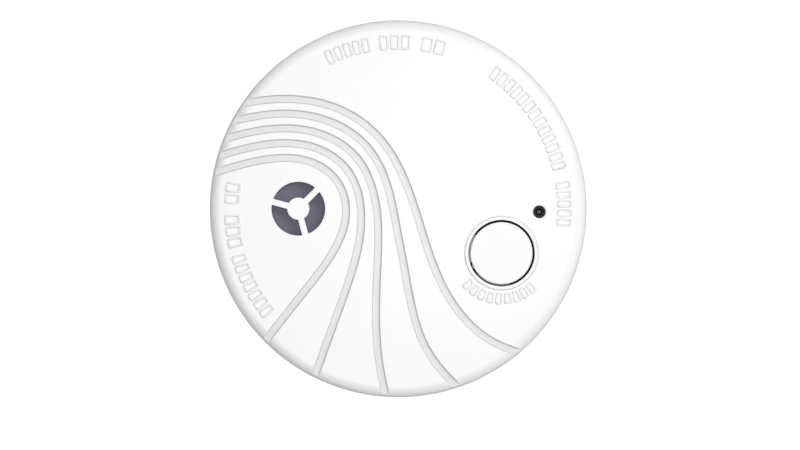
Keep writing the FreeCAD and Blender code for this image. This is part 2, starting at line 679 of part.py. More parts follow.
def microcontroller():
    low, high = BOARD_TOP_Z + PROCESSOR_STANDOFF, BOARD_TOP_Z + PROCESSOR_HIGH
    body = block(*PROCESSOR_X, *PROCESSOR_Y, low, high)
    x_reach = (PROCESSOR_X[0] - PROCESSOR_LEG_REACH, PROCESSOR_X[1] + PROCESSOR_LEG_REACH)
    y_reach = (PROCESSOR_Y[0] - PROCESSOR_LEG_REACH, PROCESSOR_Y[1] + PROCESSOR_LEG_REACH)
    leg_z = (BOARD_TOP_Z, BOARD_TOP_Z + PROCESSOR_LEG_HIGH)
    legs = []
    for k in range(PROCESSOR_LEGS):
        along = PROCESSOR_LEG_MARGIN + k * PROCESSOR_LEG_PITCH
        x, y = PROCESSOR_X[0] + along, PROCESSOR_Y[0] + along
        legs.append(block(x, x + PROCESSOR_LEG_WIDTH, *y_reach, *leg_z))
        legs.append(block(*x_reach, y, y + PROCESSOR_LEG_WIDTH, *leg_z))
    return fuse([body] + legs)


def radio_module():
    carrier_top = BOARD_TOP_Z + RADIO_CARRIER_HIGH
    carrier = block(*RADIO_X, *RADIO_Y, BOARD_TOP_Z, carrier_top)
    shield = block(*RADIO_SHIELD_X, *RADIO_SHIELD_Y, carrier_top, BOARD_TOP_Z + RADIO_SHIELD_HIGH)
    return fuse([carrier, shield])


def antenna_coil():
    low = BOARD_TOP_Z + ANTENNA_WIRE_R + ANTENNA_STANDOFF
    return moved(coil(ANTENNA_R, ANTENNA_WIRE_R, ANTENNA_PITCH, ANTENNA_LENGTH), *ANTENNA, low)


def capacitors():
    cans = []
    for at in CAPACITORS:
        can = cylinder(CAPACITOR_R, BOARD_TOP_Z, BOARD_TOP_Z + CAPACITOR_HIGH, at)
        rims = [e for e in can.Edges if e.BoundBox.ZLength < NEAR]
        cans.append(can.makeFillet(CAPACITOR_EDGE_R, rims))
    return group(cans)


def drive_transformer():
    top = BOARD_TOP_Z + TRANSFORMER_HIGH
    lower = cylinder(TRANSFORMER_R, BOARD_TOP_Z, BOARD_TOP_Z + TRANSFORMER_FLANGE, TRANSFORMER)
    winding = cylinder(TRANSFORMER_WINDING_R, BOARD_TOP_Z, top, TRANSFORMER)
    upper = cylinder(TRANSFORMER_R, top - TRANSFORMER_FLANGE, top, TRANSFORMER)
    return fuse([lower, winding, upper])


def small_components():
    """Chip resistors and capacitors: a row along X by the processor and one along Y by the capacitors."""
    places = []
    for row, x_step, y_step in ((CHIP_ROW_BY_PROCESSOR, 1, 0), (CHIP_ROW_BY_CAPACITORS, 0, 1)):
        (x, y), pitch, count = row
        places += [(x + k * pitch * x_step, y + k * pitch * y_step) for k in range(count)]
    z_range = (BOARD_TOP_Z, BOARD_TOP_Z + CHIP_HIGH)
    return group([block(x, x + CHIP_LONG, y, y + CHIP_WIDE, *z_range) for x, y in places])


def link_pins():
    half = LINK_PIN_SIDE / 2
    top = BUTTON_BOARD_TOP_Z + LINK_PIN_ABOVE
    y_low, y_high = LINK_PIN_Y - half, LINK_PIN_Y + half
    return [block(x - half, x + half, y_low, y_high, BOARD_TOP_Z, top) for x in LINK_PIN_X]


def link_header():
    x_range = (LINK_PIN_X[0] - LINK_HEADER_HALF, LINK_PIN_X[-1] + LINK_HEADER_HALF)
    y_range = (LINK_PIN_Y - LINK_HEADER_HALF, LINK_PIN_Y + LINK_HEADER_HALF)
    return block(*x_range, *y_range, BOARD_TOP_Z, BOARD_TOP_Z + LINK_HEADER_HIGH).cut(link_pins())


# ---- optical chamber -----------------------------------------------------------------------

def optic_holder(angle):
    """A block round an emitter or receiver, with a bore towards the chamber's centre."""
    half, channel_half = HOLDER_HALF_WIDTH, HOLDER_CHANNEL_HALF_WIDTH
    holder = block(*HOLDER_X, -half, half, CHAMBER_FLOOR_Z - ROOT, HOLDER_TOP_Z)
    start, end = HOLDER_X[0] - PAST, HOLDER_X[1] + PAST
    bore = Part.makeCylinder(OPTICS_R + OPTIC_GAP, end - start, Vector(start, 0, OPTICS_Z), ALONG_X)
    channel_top = HOLDER_TOP_Z + PAST
    channel = block(HOLDER_CHANNEL_X, end, -channel_half, channel_half, CHAMBER_FLOOR_Z, channel_top)
    shaped = holder.cut([bore, channel])
    return moved(turned(shaped, (0, 0), angle), *CHAMBER)


def optic_leads(clearance):
    """The two leads of an optic that lies along +X: back from its rim and down to the board."""
    start, bend, end = LEAD_X
    low, high = OPTICS_Z - LEAD_HALF_WIDTH, OPTICS_Z + LEAD_HALF_WIDTH
    half = LEAD_HALF_WIDTH + clearance
    leads = []
    for y in (-LEAD_Y, LEAD_Y):
        back = block(start, end, y - half, y + half, low, high)
        down = block(bend - clearance, end + clearance, y - half, y + half, BOARD_TOP_Z, high)
        leads.append(fuse([back, down]))
    return leads


def optic(angle):
    """A 3 mm emitter or photodiode in its holder, facing the centre, with leads to the board."""
    front = Vector(OPTIC_FRONT_X, 0, OPTICS_Z)
    barrel = Part.makeCylinder(OPTICS_R, OPTIC_BARREL, front, ALONG_X)
    tip = Part.makeSphere(OPTICS_R, front)
    rim = Part.makeCylinder(OPTICS_RIM_R, OPTIC_RIM, Vector(OPTIC_RIM_X, 0, OPTICS_Z), ALONG_X)
    shaped = fuse([barrel, tip, rim] + optic_leads(0))
    return moved(turned(shaped, (0, 0), angle), *CHAMBER)


def chamber_base():
    disc = cylinder(CHAMBER_R, CHAMBER_BASE_Z, CHAMBER_FLOOR_Z, CHAMBER)
    rim = ring(SCREEN_R_OUT + RIM_GAP, CHAMBER_R, CHAMBER_BASE_Z, CHAMBER_FLOOR_Z + RIM_HIGH, CHAMBER)
    optics = (EMITTER_ANGLE, RECEIVER_ANGLE)
    reach, half = VANE_LENGTH / 2, VANE_THICK / 2
    vane = block(-reach, reach, -half, half, CHAMBER_FLOOR_Z - ROOT, CHAMBER_CAP_Z - VANE_TOP_GAP)
    vane = moved(turned(vane, (0, 0), VANE_TURN), VANE_R, 0)
    vanes = []
    for k in range(VANE_COUNT):
        angle = k * 360 / VANE_COUNT
        if min(abs((angle - optic_at + 180) % 360 - 180) for optic_at in optics) >= VANE_CLEAR_DEG:
            vanes.append(moved(turned(vane, (0, 0), angle), *CHAMBER))
    holders = [optic_holder(angle) for angle in optics]
    legs = []
    for angle in CHAMBER_LEG_ANGLES:
        at = polar(CHAMBER_LEG_AT_R, angle, CHAMBER)
        shoulder_r = CHAMBER_LEG_R + CHAMBER_LEG_SHOULDER
        legs.append(cylinder(CHAMBER_LEG_R, CHAMBER_LEG_LOW_Z, CHAMBER_BASE_Z + ROOT, at))
        legs.append(cylinder(shoulder_r, BOARD_TOP_Z, CHAMBER_BASE_Z + ROOT, at))
    body = fuse([disc, rim] + vanes + holders + legs)
    for angle in optics:
        slots = [moved(turned(lead, (0, 0), angle), *CHAMBER) for lead in optic_leads(LEAD_GAP)]
        body = body.cut(slots)
    return body


def chamber_cap():
    disc = cylinder(CHAMBER_R, CHAMBER_CAP_Z, CHAMBER_TOP_Z, CHAMBER)
    rim_top = CHAMBER_TOP_Z - CAP_RIM_BELOW_TOP
    rim = ring(SCREEN_R_OUT + RIM_GAP, CHAMBER_R, CHAMBER_CAP_Z - CAP_RIM_DEPTH, rim_top, CHAMBER)
    step = cylinder(CHAMBER_R - CAP_STEP_IN, rim_top, CHAMBER_TOP_Z + CAP_STEP_HIGH, CHAMBER)
    trap_z = (CHAMBER_CAP_Z - TRAP_DEPTH, CHAMBER_CAP_Z + TRAP_ROOT)
    traps = [ring(r, r + TRAP_THICK, *trap_z, CHAMBER) for r in TRAP_RADII]
    return fuse([disc, rim, step] + traps)


def insect_screen():
    return ring(SCREEN_R_OUT - SCREEN_THICK, SCREEN_R_OUT, SCREEN_Z_LOW, SCREEN_Z_HIGH, CHAMBER)


# ---- sounder -------------------------------------------------------------------------------

def sounder_horn():
    """The front half of the sounder's case, which shows through the port."""
    low = SOUNDER_DISC_Z + SOUNDER_DISC_THICK
    outer = cylinder(SOUNDER_R, low, SOUNDER_FRONT_Z, SOUNDER)
    front_edge = [e for e in outer.Edges if e.BoundBox.ZMin > SOUNDER_FRONT_Z - NEAR]
    outer = outer.makeFillet(SOUNDER_EDGE_R, front_edge)
    hollow = cylinder(SOUNDER_R - HORN_SIDE_WALL, low, SOUNDER_FRONT_Z - SOUNDER_WALL, SOUNDER)
    hole = cylinder(SOUND_HOLE_R, low, SOUNDER_FRONT_Z + PAST, SOUNDER)
    return outer.cut([hollow, hole])


def contact_places():
    return [(SOUNDER[0] + way * CONTACT_SPREAD, SOUNDER[1]) for way in (-1, 1)]


def sounder_base():
    """The back half of the case: a tray with a seat for the disc."""
    disc_top = SOUNDER_DISC_Z + SOUNDER_DISC_THICK
    outer = cylinder(SOUNDER_R, BOARD_TOP_Z, disc_top, SOUNDER)
    seat = cylinder(SOUNDER_DISC_R + DISC_SEAT_GAP, SOUNDER_DISC_Z, disc_top + PAST, SOUNDER)
    hollow = cylinder(SOUNDER_R - BASE_SIDE_WALL, BOARD_TOP_Z + SOUNDER_WALL, disc_top, SOUNDER)
    low, high = BOARD_TOP_Z - PAST, BOARD_TOP_Z + SOUNDER_WALL + PAST
    holes = [cylinder(CONTACT_HOLE_R, low, high, at) for at in contact_places()]
    return outer.cut([seat, hollow] + holes)


def sounder_disc():
    top = SOUNDER_DISC_Z + SOUNDER_DISC_THICK
    return cylinder(SOUNDER_DISC_R, SOUNDER_DISC_Z, top, SOUNDER)


def sounder_ceramic():
    return cylinder(CERAMIC_R, SOUNDER_DISC_Z - CERAMIC_THICK, SOUNDER_DISC_Z, SOUNDER)


def sounder_contacts():
    top = SOUNDER_DISC_Z - CERAMIC_THICK
    return group([cylinder(CONTACT_R, BOARD_TOP_Z, top, at) for at in contact_places()])


def sounder_seal():
    seal = ring(PORT_R + SEAL_MARGIN, SOUNDER_R - SEAL_MARGIN, SOUNDER_FRONT_Z, FACE_Z, SOUNDER)
    return seal.common(under_dome(SKIN, COVER_R, SOUNDER_FRONT_Z - PAST))


# ---- battery -------------------------------------------------------------------------------

def battery():
    start = Vector(BATTERY_X_LOW, BATTERY_Y, BATTERY_Z)
    can = Part.makeCylinder(BATTERY_R, BATTERY_LENGTH - BATTERY_NUB, start, ALONG_X)
    rims = [e for e in can.Edges if e.BoundBox.XLength < NEAR]
    can = can.makeFillet(BATTERY_EDGE_R, rims)
    nub = Part.makeCylinder(BATTERY_NUB_R, BATTERY_LENGTH, start, ALONG_X)
    return fuse([can, nub])


def battery_contact_positive():
    face = BATTERY_X_LOW + BATTERY_LENGTH
    y_low, y_high = BATTERY_Y - CONTACT_HALF_SPAN, TAB_Y_HIGH
    z_low, z_high = BOARD_TOP_Z, BATTERY_Z + CONTACT_HALF_SPAN
    leaf = block(face, face + TAB_THICK, y_low, y_high, z_low, z_high)
    back = block(BAY_HALF_LENGTH - TAB_THICK, BAY_HALF_LENGTH, y_low, y_high, z_low, z_high)
    fold = block(face, BAY_HALF_LENGTH, y_low, y_high, z_high - TAB_THICK, z_high)
    tab_x = (BAY_HALF_LENGTH - TAB_THICK, TAB_END_X)
    tab = block(*tab_x, TAB_Y_LOW, TAB_Y_HIGH, z_low, z_low + TAB_THICK)
    return fuse([leaf, back, fold, tab])


def battery_contact_negative():
    y_low, y_high = BATTERY_Y - CONTACT_HALF_SPAN, TAB_Y_HIGH
    z_low, z_high = BOARD_TOP_Z, BATTERY_Z + CONTACT_HALF_SPAN
    back = block(-BAY_HALF_LENGTH, -BAY_HALF_LENGTH + TAB_THICK, y_low, y_high, z_low, z_high)
    tab_x = (-TAB_END_X, -BAY_HALF_LENGTH + TAB_THICK)
    tab = block(*tab_x, TAB_Y_LOW, TAB_Y_HIGH, z_low, z_low + TAB_THICK)
    return fuse([back, tab])


def battery_spring():
    room = BATTERY_X_LOW + BAY_HALF_LENGTH - TAB_THICK
    end_room = SPRING_WIRE_R + SPRING_GAP
    spring = coil(SPRING_R, SPRING_WIRE_R, SPRING_PITCH, room - 2 * end_room)
    spring.rotate(Vector(0, 0, 0), Vector(0, 1, 0), 90)
    return moved(spring, -BAY_HALF_LENGTH + TAB_THICK + end_room, BATTERY_Y, BATTERY_Z)


# ---- tamper switch, label and screws -------------------------------------------------------

def tamper_switch():
    x, y = TAMPER
    half = TAMPER_SWITCH_HALF
    body = block(x - half, x + half, y - half, y + half, TAMPER_SWITCH_LOW_Z, BOARD_Z)
    neck = cylinder(TAMPER_NECK_R, TAMPER_SWITCH_LOW_Z - PAST, TAMPER_CAVITY_Z[0] + ROOT, TAMPER)
    cavity = cylinder(TAMPER_CAVITY_R, *TAMPER_CAVITY_Z, TAMPER)
    return body.cut([neck, cavity])


def tamper_plunger():
    tip_centre_z = TAMPER_TIP_Z + TAMPER_R
    tip = Part.makeSphere(TAMPER_R, Vector(*TAMPER, tip_centre_z))
    pin = cylinder(TAMPER_R, tip_centre_z, TAMPER_PIN_TOP_Z, TAMPER)
    stem = cylinder(TAMPER_STEM_R, TAMPER_PIN_TOP_Z - ROOT, TAMPER_STEM_TOP_Z, TAMPER)
    collar = cylinder(TAMPER_COLLAR_R, TAMPER_COLLAR_LOW_Z, TAMPER_STEM_TOP_Z, TAMPER)
    return fuse([tip, pin, stem, collar])


def rating_label():
    return block(*LABEL_X, *LABEL_Y, FLOOR_Z - LABEL_THICK, FLOOR_Z)


def housing_screws():
    head_low = CUP_SEAT_Z - HOUSING_SCREW_HEAD
    end = BOSS_BASE_Z + SHANK_DEPTH
    screw = cross_head_screw(HOUSING_SCREW_HEAD_R, CUP_SEAT_Z, head_low, SHANK_R, end)
    return group([moved(screw, *at) for at in HOUSING_SCREWS])


def board_screws():
    head_top = BOARD_TOP_Z + BOARD_SCREW_HEAD
    end = FLOOR_TOP_Z - ROOT
    screw = cross_head_screw(BOARD_SCREW_HEAD_R, BOARD_TOP_Z, head_top, BOARD_SHANK_R, end)
    return group([moved(screw, *at) for at in BOARD_SCREWS])


def button_board_screws():
    head_low = BUTTON_BOARD_Z - BUTTON_SCREW_HEAD
    end = BUTTON_BOARD_TOP_Z + BUTTON_SHANK_DEPTH
    screw = cross_head_screw(BUTTON_SCREW_HEAD_R, BUTTON_BOARD_Z, head_low, BUTTON_SHANK_R, end)
    return group([moved(screw, *at) for at in BUTTON_BOARD_SCREWS])


NODES = {
    "mounting_plate": mounting_plate,
    "rear_housing": rear_housing,
    "front_cover": front_cover,
    "test_button": test_button,
    "button_board": button_board,
    "button_switch_body": button_switch_body,
    "button_switch_actuator": button_switch_actuator,
    "status_led": status_led,
    "led_spacer": led_spacer,
    "main_board": main_board,
    "microcontroller": microcontroller,
    "radio_module": radio_module,
    "antenna_coil": antenna_coil,
    "capacitors": capacitors,
    "drive_transformer": drive_transformer,
    "small_components": small_components,
    "link_pins": lambda: group(link_pins()),
    "link_header": link_header,
    "chamber_base": chamber_base,
    "chamber_cap": chamber_cap,
    "insect_screen": insect_screen,
    "infrared_emitter": lambda: optic(EMITTER_ANGLE),
    "photodiode": lambda: optic(RECEIVER_ANGLE),
    "sounder_horn": sounder_horn,
    "sounder_base": sounder_base,
    "sounder_disc": sounder_disc,
    "sounder_ceramic": sounder_ceramic,
    "sounder_contacts": sounder_contacts,
    "sounder_seal": sounder_seal,
    "battery": battery,
    "battery_contact_positive": battery_contact_positive,
    "battery_contact_negative": battery_contact_negative,
    "battery_spring": battery_spring,
    "tamper_switch": tamper_switch,
    "tamper_plunger": tamper_plunger,
    "rating_label": rating_label,
    "housing_screws": housing_screws,
    "board_screws": board_screws,
    "button_board_screws": button_board_screws,
}


def main():
    os.makedirs("parts", exist_ok=True)
    for name, make in NODES.items():
        shape = make()
        shape.exportStep("parts/" + name + ".step")
        print(name, "solids", len(shape.Solids), "valid", shape.isValid(), "mm3", round(shape.Volume, 1))


main()
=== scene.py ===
import json
import math

import bpy
import numpy as np
from mathutils import Euler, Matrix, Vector
from mathutils.geometry import delaunay_2d_cdt


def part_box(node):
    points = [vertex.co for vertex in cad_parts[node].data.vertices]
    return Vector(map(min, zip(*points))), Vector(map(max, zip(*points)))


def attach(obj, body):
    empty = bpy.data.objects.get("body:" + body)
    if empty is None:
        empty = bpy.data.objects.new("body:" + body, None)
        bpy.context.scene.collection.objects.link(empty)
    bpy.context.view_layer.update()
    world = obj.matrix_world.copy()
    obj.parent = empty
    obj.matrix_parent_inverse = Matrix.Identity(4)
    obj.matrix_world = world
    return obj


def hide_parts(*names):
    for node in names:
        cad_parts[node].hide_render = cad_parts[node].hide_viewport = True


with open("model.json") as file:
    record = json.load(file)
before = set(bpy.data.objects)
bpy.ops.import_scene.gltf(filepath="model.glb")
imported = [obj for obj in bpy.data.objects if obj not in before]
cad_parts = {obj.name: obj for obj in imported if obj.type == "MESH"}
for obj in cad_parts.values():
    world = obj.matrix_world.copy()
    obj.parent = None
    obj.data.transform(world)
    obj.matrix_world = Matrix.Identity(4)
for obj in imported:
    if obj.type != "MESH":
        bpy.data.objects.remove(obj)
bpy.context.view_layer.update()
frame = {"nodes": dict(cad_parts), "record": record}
nodes = frame["nodes"]

# Lengths are in millimetres, and MM turns them into Blender's metres.
MM = 0.001

# ---- Driving dimensions --------------------------------------------------------------------


def node_box(name):
    """The lowest and the highest corner of a CAD node, in millimetres."""
    return tuple(Vector(corner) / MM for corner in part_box(name))


def centre_of(name):
    """The middle of a CAD node, seen from above."""
    low, high = node_box(name)
    return ((low.x + high.x) / 2, (low.y + high.y) / 2)


COVER_R = node_box("front_cover")[1].x
SOUNDER = centre_of("sounder_horn")
BUTTON = centre_of("button_switch_actuator")
LED = centre_of("status_led")

# The face is a dome, DOME_SAG lower at DOME_SAG_AT_R than in the middle, with a rounded rim
FACE_Z = 36.0
DOME_SAG = 1.0
DOME_SAG_AT_R = 50.0
DOME_R = (DOME_SAG_AT_R ** 2 + DOME_SAG ** 2) / (2 * DOME_SAG)
EDGE_R = 3.0
SKIN = 2.0
RIM_FROM_R = COVER_R - EDGE_R
RIM_CENTRE_Z = FACE_Z - DOME_R + math.sqrt((DOME_R - EDGE_R) ** 2 - RIM_FROM_R ** 2)

# The dome runs on past RIM_FROM_R by RIM_OVERLAP, and a groove's floor meets the rim in a blend
RIM_OVERLAP = 0.05
RIM_BLEND = 0.06

# The smoke inlet: a slot all round, with fins across it up to the cover's inner lip
INLET_LOW_Z = 16.0
INLET_HIGH_Z = 20.0
INLET_LIP_LOW_Z = INLET_HIGH_Z + 0.05
INLET_LIP_HIGH_Z = INLET_HIGH_Z + 1.4
FIN_COUNT = 60
FIN_THICK = 1.1
FIN_R_IN = 47.8
FIN_R_OUT = 52.4
FIN_TOP_Z = INLET_HIGH_Z + 0.7

# The side wall ends above the inlet in a rounded edge, with a ring of points some way up each side of it
SKIRT_EDGE_R = 0.5
SKIRT_EDGE_TOP_Z = INLET_HIGH_Z + SKIRT_EDGE_R
OUTER_RING_Z = SKIRT_EDGE_TOP_Z + 5
INNER_RING_Z = INLET_HIGH_Z + 6

# Wave grooves: centre lines from the left rim to the lower rim, as in the CAD model
GROOVES = (
    ((-54.8, 9.3), (-43.8, 12.6), (-33.8, 14.3), (-23.7, 12.8), (-16.9, 7.1), (-14.8, -1.8),
     (-18.5, -12.3), (-26.9, -23.8), (-40.4, -41.1)),
    ((-53.8, 13.9), (-43.8, 16.9), (-33.8, 18.5), (-23.7, 17.3), (-14.1, 10.5), (-10.5, -2.2),
     (-13.8, -19.8), (-19.9, -37), (-25.2, -52.1)),
    ((-52.8, 18.6), (-43.8, 21.2), (-33.8, 22.7), (-22.8, 21.4), (-12, 14.7), (-6.6, 2.8),
     (-5.8, -14.2), (-6.3, -31.2), (-5.2, -44.8), (-3, -55.2)),
    ((-50.8, 23.8), (-41.8, 25.9), (-31.8, 26.9), (-20.3, 25), (-9.1, 17.8), (-2.6, 4.9),
     (-0.6, -4.6), (1, -12.8), (3.9, -28.1), (8.1, -39.9), (19.4, -53)),
    ((-49.8, 28.5), (-39.8, 30.5), (-29.8, 31), (-17.8, 28.6), (-5.6, 20.3), (2.6, 6.1),
     (9, -13.4), (15.9, -27.5), (25.8, -37.1), (41.3, -42.6)),
)
GROOVE_DEPTH = 0.8
GROOVE_END_GAP = 0.3

# A groove's wall runs between these distances from its centre line
GROOVE_FLOOR = 0.8
GROOVE_TOP = 1.2

PORT_R = 7.6
HUB_R = 3.15
SPOKE_WIDTH = 1.75
SPOKE_ANGLES = (45, 165, 285)
BUTTON_HOLE_R = 9.4
BUTTON_LIP_R = 10.5
BUTTON_LIP_RISE = 0.3
LED_HOLE_R = 1.83

# A hole's rounded edge: (out from the hole, lift above the face)
HOLE_MARGIN = 0.3
HOLE_EDGE = ((0.12, 0.0), (0.06, -0.012), (0.02, -0.045), (0.0, -0.1))

# The raised lip round the button ends in a fine groove, greyed with painted shade: (beyond BUTTON_LIP_R,
# share of the lip's rise, painted shade)
LIP_EDGE = ((-0.3, 1.0, 0.0), (-0.22, 0.92, 0.2), (-0.17, 0.5, 0.3), (-0.12, 0.0, 0.35), (-0.08, -0.3, 0.35),
            (0.02, -0.3, 0.35), (0.1, 0.0, 0.2), (0.16, 0.0, 0.0), (0.4, 0.0, 0.0))

# Raised marks where the real cover has letters, in groups round the cover's middle and one round the button.
# A group is (the angle of its first edge, the angle of its last edge, how many marks).
MARK_RISE = 0.42
MARK_WIDTH = 0.42
MARK_GAP = 0.6
MARK_CORNER = 0.4
FACE_MARKS = (
    (73.7, 81.9, 2), (86.0, 96.4, 3), (99.9, 115.4, 5), (-5.9, 9.3, 5), (13.7, 55.5, 13),
    (171.1, 178.2, 2), (182.2, 193.3, 3), (196.2, 219.2, 7),
)
FACE_MARK_RADIUS = 47.1
FACE_MARK_LENGTH = 4.1
BUTTON_MARKS = (219.0, 315.0, 9)
BUTTON_MARK_RADIUS = 12.9
BUTTON_MARK_LENGTH = 3.1

# The side of a raised mark, greyed with painted shade: (out from its outline, share of the mark's rise,
# painted shade)
MARK_EDGE = ((0.12, 0.0, 0.0), (0.08, 0.1, 0.22), (-0.06, 0.9, 0.22), (-0.1, 1.0, 0.0))

# How finely the cover is drawn: points round a circle or along an arc, and the angles of rings round an edge
RIM_COUNT = 360
BUTTON_COUNT = 160
LED_HOLE_COUNT = 48
WINDOW_OUTER_COUNT = 40
WINDOW_INNER_COUNT = 20
LATHE_COUNT = 192
FIN_NOSE_COUNT = 8
RIM_DEGREES = (0, 4, 9, 15, 21, 27, 33, 39, 46, 53, 60, 68, 76, 83)
UNDERSIDE_RIM_DEGREES = (0, 25, 50, 72)
SKIRT_EDGE_DEGREES = (25, 50, 75, 90)
RIM_INNER_RING_GAP = 0.6
SHARP_DEGREES = 32

# The mesh lines along a groove: their points' spacing, the lines on its floor, its wall and its shoulder
GROOVE_STEP = 0.9
GROOVE_FLOOR_LINES = (0.5, 0.85)
GROOVE_WALL_STEPS = 7
GROOVE_SHOULDER = 0.12

# Loose points on the plain stretches: how far apart, from the rim, and from a line as a share of LAND_SPACING
LAND_SPACING = 2.2
LAND_RIM_GAP = 1.5
LAND_CLEARANCE = 0.45


# ---- Curves and outlines -------------------------------------------------------------------


def smooth_line(points, step):
    """A natural cubic spline through the points, as points a step apart."""
    knots = np.array(points, float)
    at = np.concatenate(([0], np.cumsum(np.hypot(*np.diff(knots, axis=0).T))))
    gaps = np.diff(at)
    count = len(knots)
    system = np.eye(count)
    right = np.zeros((count, 2))
    slopes = np.diff(knots, axis=0) / gaps[:, None]
    for i in range(1, count - 1):
        system[i, i - 1:i + 2] = gaps[i - 1], 2 * (gaps[i - 1] + gaps[i]), gaps[i]
        right[i] = 6 * (slopes[i] - slopes[i - 1])
    bend = np.linalg.solve(system, right)
    where = np.linspace(0, at[-1], max(2, round(at[-1] / step) + 1))
    k = np.clip(np.searchsorted(at, where, side="right") - 1, 0, count - 2)
    gap = gaps[k][:, None]
    before = (at[k + 1] - where)[:, None]
    after = (where - at[k])[:, None]
    cubic = (bend[k] * before ** 3 + bend[k + 1] * after ** 3) / (6 * gap)
    return (cubic + (knots[k] / gap - bend[k] * gap / 6) * before
            + (knots[k + 1] / gap - bend[k + 1] * gap / 6) * after)


def polar(radius, turn, centre):
    """Points at a radius and at turns in radians, about a centre."""
    return np.stack([centre[0] + radius * np.cos(turn), centre[1] + radius * np.sin(turn)], 1)


def circle(radius, count, centre=(0, 0)):
    """Points round a circle, evenly spaced."""
    return polar(radius, np.arange(count) * 2 * math.pi / count, centre)


def arc(radius, start, end, count, centre=(0, 0)):
    """Points along an arc, angles in radians."""
    return polar(radius, np.linspace(start, end, count), centre)


def level(points, z):
    """Points seen from above, at a height."""
    return [(x, y, z) for x, y in points]


def port_window(index, grow):
    """The outline of one of the sounder port's three windows, grown outwards."""
    first = math.radians(SPOKE_ANGLES[index])
    last = math.radians(SPOKE_ANGLES[(index + 1) % len(SPOKE_ANGLES)])
    if last < first:
        last += 2 * math.pi
    half = SPOKE_WIDTH / 2 - grow
    outer, inner = PORT_R + grow, HUB_R - grow
    away_out, away_in = math.asin(half / outer), math.asin(half / inner)
    long_side = arc(outer, first + away_out, last - away_out, WINDOW_OUTER_COUNT, SOUNDER)
    short_side = arc(inner, last - away_in, first + away_in, WINDOW_INNER_COUNT, SOUNDER)
    return np.concatenate([long_side, short_side])


def mark_outline(centre, radius, angle, width, length, corner):
    """A box with cut corners, width along an arc and length across it, bent round centre."""
    half, reach = width / 2, length / 2
    along = np.array([half, half, half - corner, corner - half, -half, -half, corner - half, half - corner])
    across = np.array([corner - reach, reach - corner, reach, reach, reach - corner, corner - reach,
                       -reach, -reach])
    return polar(radius + across, math.radians(angle) - along / radius, centre)


def fin_outline():
    """A fin seen from above, along +X, with a rounded nose."""
    half = FIN_THICK / 2
    nose = arc(half, -math.pi / 2, math.pi / 2, FIN_NOSE_COUNT) + (FIN_R_OUT - half, 0)
    return np.concatenate([[(FIN_R_IN, half), (FIN_R_IN, -half)], nose])


def inside(points, outline):
    """Which of the points lie inside a closed outline."""
    found = np.zeros(len(points), bool)
    x, y = points[:, 0], points[:, 1]
    for (x0, y0), (x1, y1) in zip(outline, np.roll(outline, -1, axis=0)):
        if y0 != y1:
            found ^= ((y0 > y) != (y1 > y)) & (x < x0 + (x1 - x0) * (y - y0) / (y1 - y0))
    return found


# ---- The face as a surface -----------------------------------------------------------------

# Distances to a groove are found on a fine line, near the closest of every COARSE-th point of it
FINE_STEP = 0.05
COARSE = 20
POINTS_AT_ONCE = 2000

# A groove shallower than this counts as plain face
LEAST_GROOVE = 0.001

GROOVE_LINES = [smooth_line(points, GROOVE_STEP) for points in GROOVES]
FINE_LINES = [smooth_line(points, FINE_STEP) for points in GROOVES]


def distances(points, others):
    """The distance from each point to the others, which are one list for all or one list for each point."""
    return np.hypot(points[:, None, 0] - others[..., 0], points[:, None, 1] - others[..., 1])


def distance_to_grooves(points):
    """The distance from each point to the nearest groove's centre line."""
    best = np.full(len(points), np.inf)
    near_by = np.arange(-COARSE - 1, COARSE + 2)
    for line in FINE_LINES:
        for start in range(0, len(points), POINTS_AT_ONCE):
            part = points[start:start + POINTS_AT_ONCE]
            closest = np.argmin(distances(part, line[::COARSE]), 1)
            steps = np.clip(closest[:, None] * COARSE + near_by, 0, len(line) - 1)
            found = distances(part, line[steps]).min(1)
            best[start:start + POINTS_AT_ONCE] = np.minimum(best[start:start + POINTS_AT_ONCE], found)
    return best


def dome_height(r, inset=0.0):
    """The height of the dome at a radius, or of a surface set in below it."""
    return FACE_Z - DOME_R + np.sqrt((DOME_R - inset) ** 2 - r ** 2)


def rim_height(r, inset=0.0):
    """The height of the rounded edge between the face and the side wall, beyond RIM_FROM_R."""
    out = np.clip(r - RIM_FROM_R, 0, EDGE_R - inset)
    return RIM_CENTRE_Z + np.sqrt(np.maximum((EDGE_R - inset) ** 2 - out ** 2, 0))


def smooth_min(a, b, blend):
    """The lower of two heights, with the corner where they cross blended."""
    share = np.clip(0.5 + (b - a) / (2 * blend), 0, 1)
    return b + (a - b) * share - blend * share * (1 - share)


def face_height(points):
    """The height of the cover's face, with its grooves and rounded rim."""
    r = np.hypot(points[:, 0], points[:, 1])
    share = np.clip((GROOVE_TOP - distance_to_grooves(points)) / (GROOVE_TOP - GROOVE_FLOOR), 0, 1)
    groove = GROOVE_DEPTH * share * share * (3 - 2 * share)
    height = dome_height(r) - groove
    rim = rim_height(r)
    edge = np.where(groove < LEAST_GROOVE, rim, smooth_min(height, rim, RIM_BLEND))
    return np.where(r > RIM_FROM_R + RIM_OVERLAP, edge, height)


def groove_painted_shade(points):
    """How deep each point lies in a groove, from 0 on the plain face to 1 on a groove's floor, as the share
    of painted shade there.
    """
    r = np.hypot(points[:, 0], points[:, 1])
    plain = np.where(r > RIM_FROM_R + RIM_OVERLAP, rim_height(r), dome_height(r))
    return np.clip((plain - face_height(points)) / GROOVE_DEPTH, 0, 1)


# ---- Meshes --------------------------------------------------------------------------------


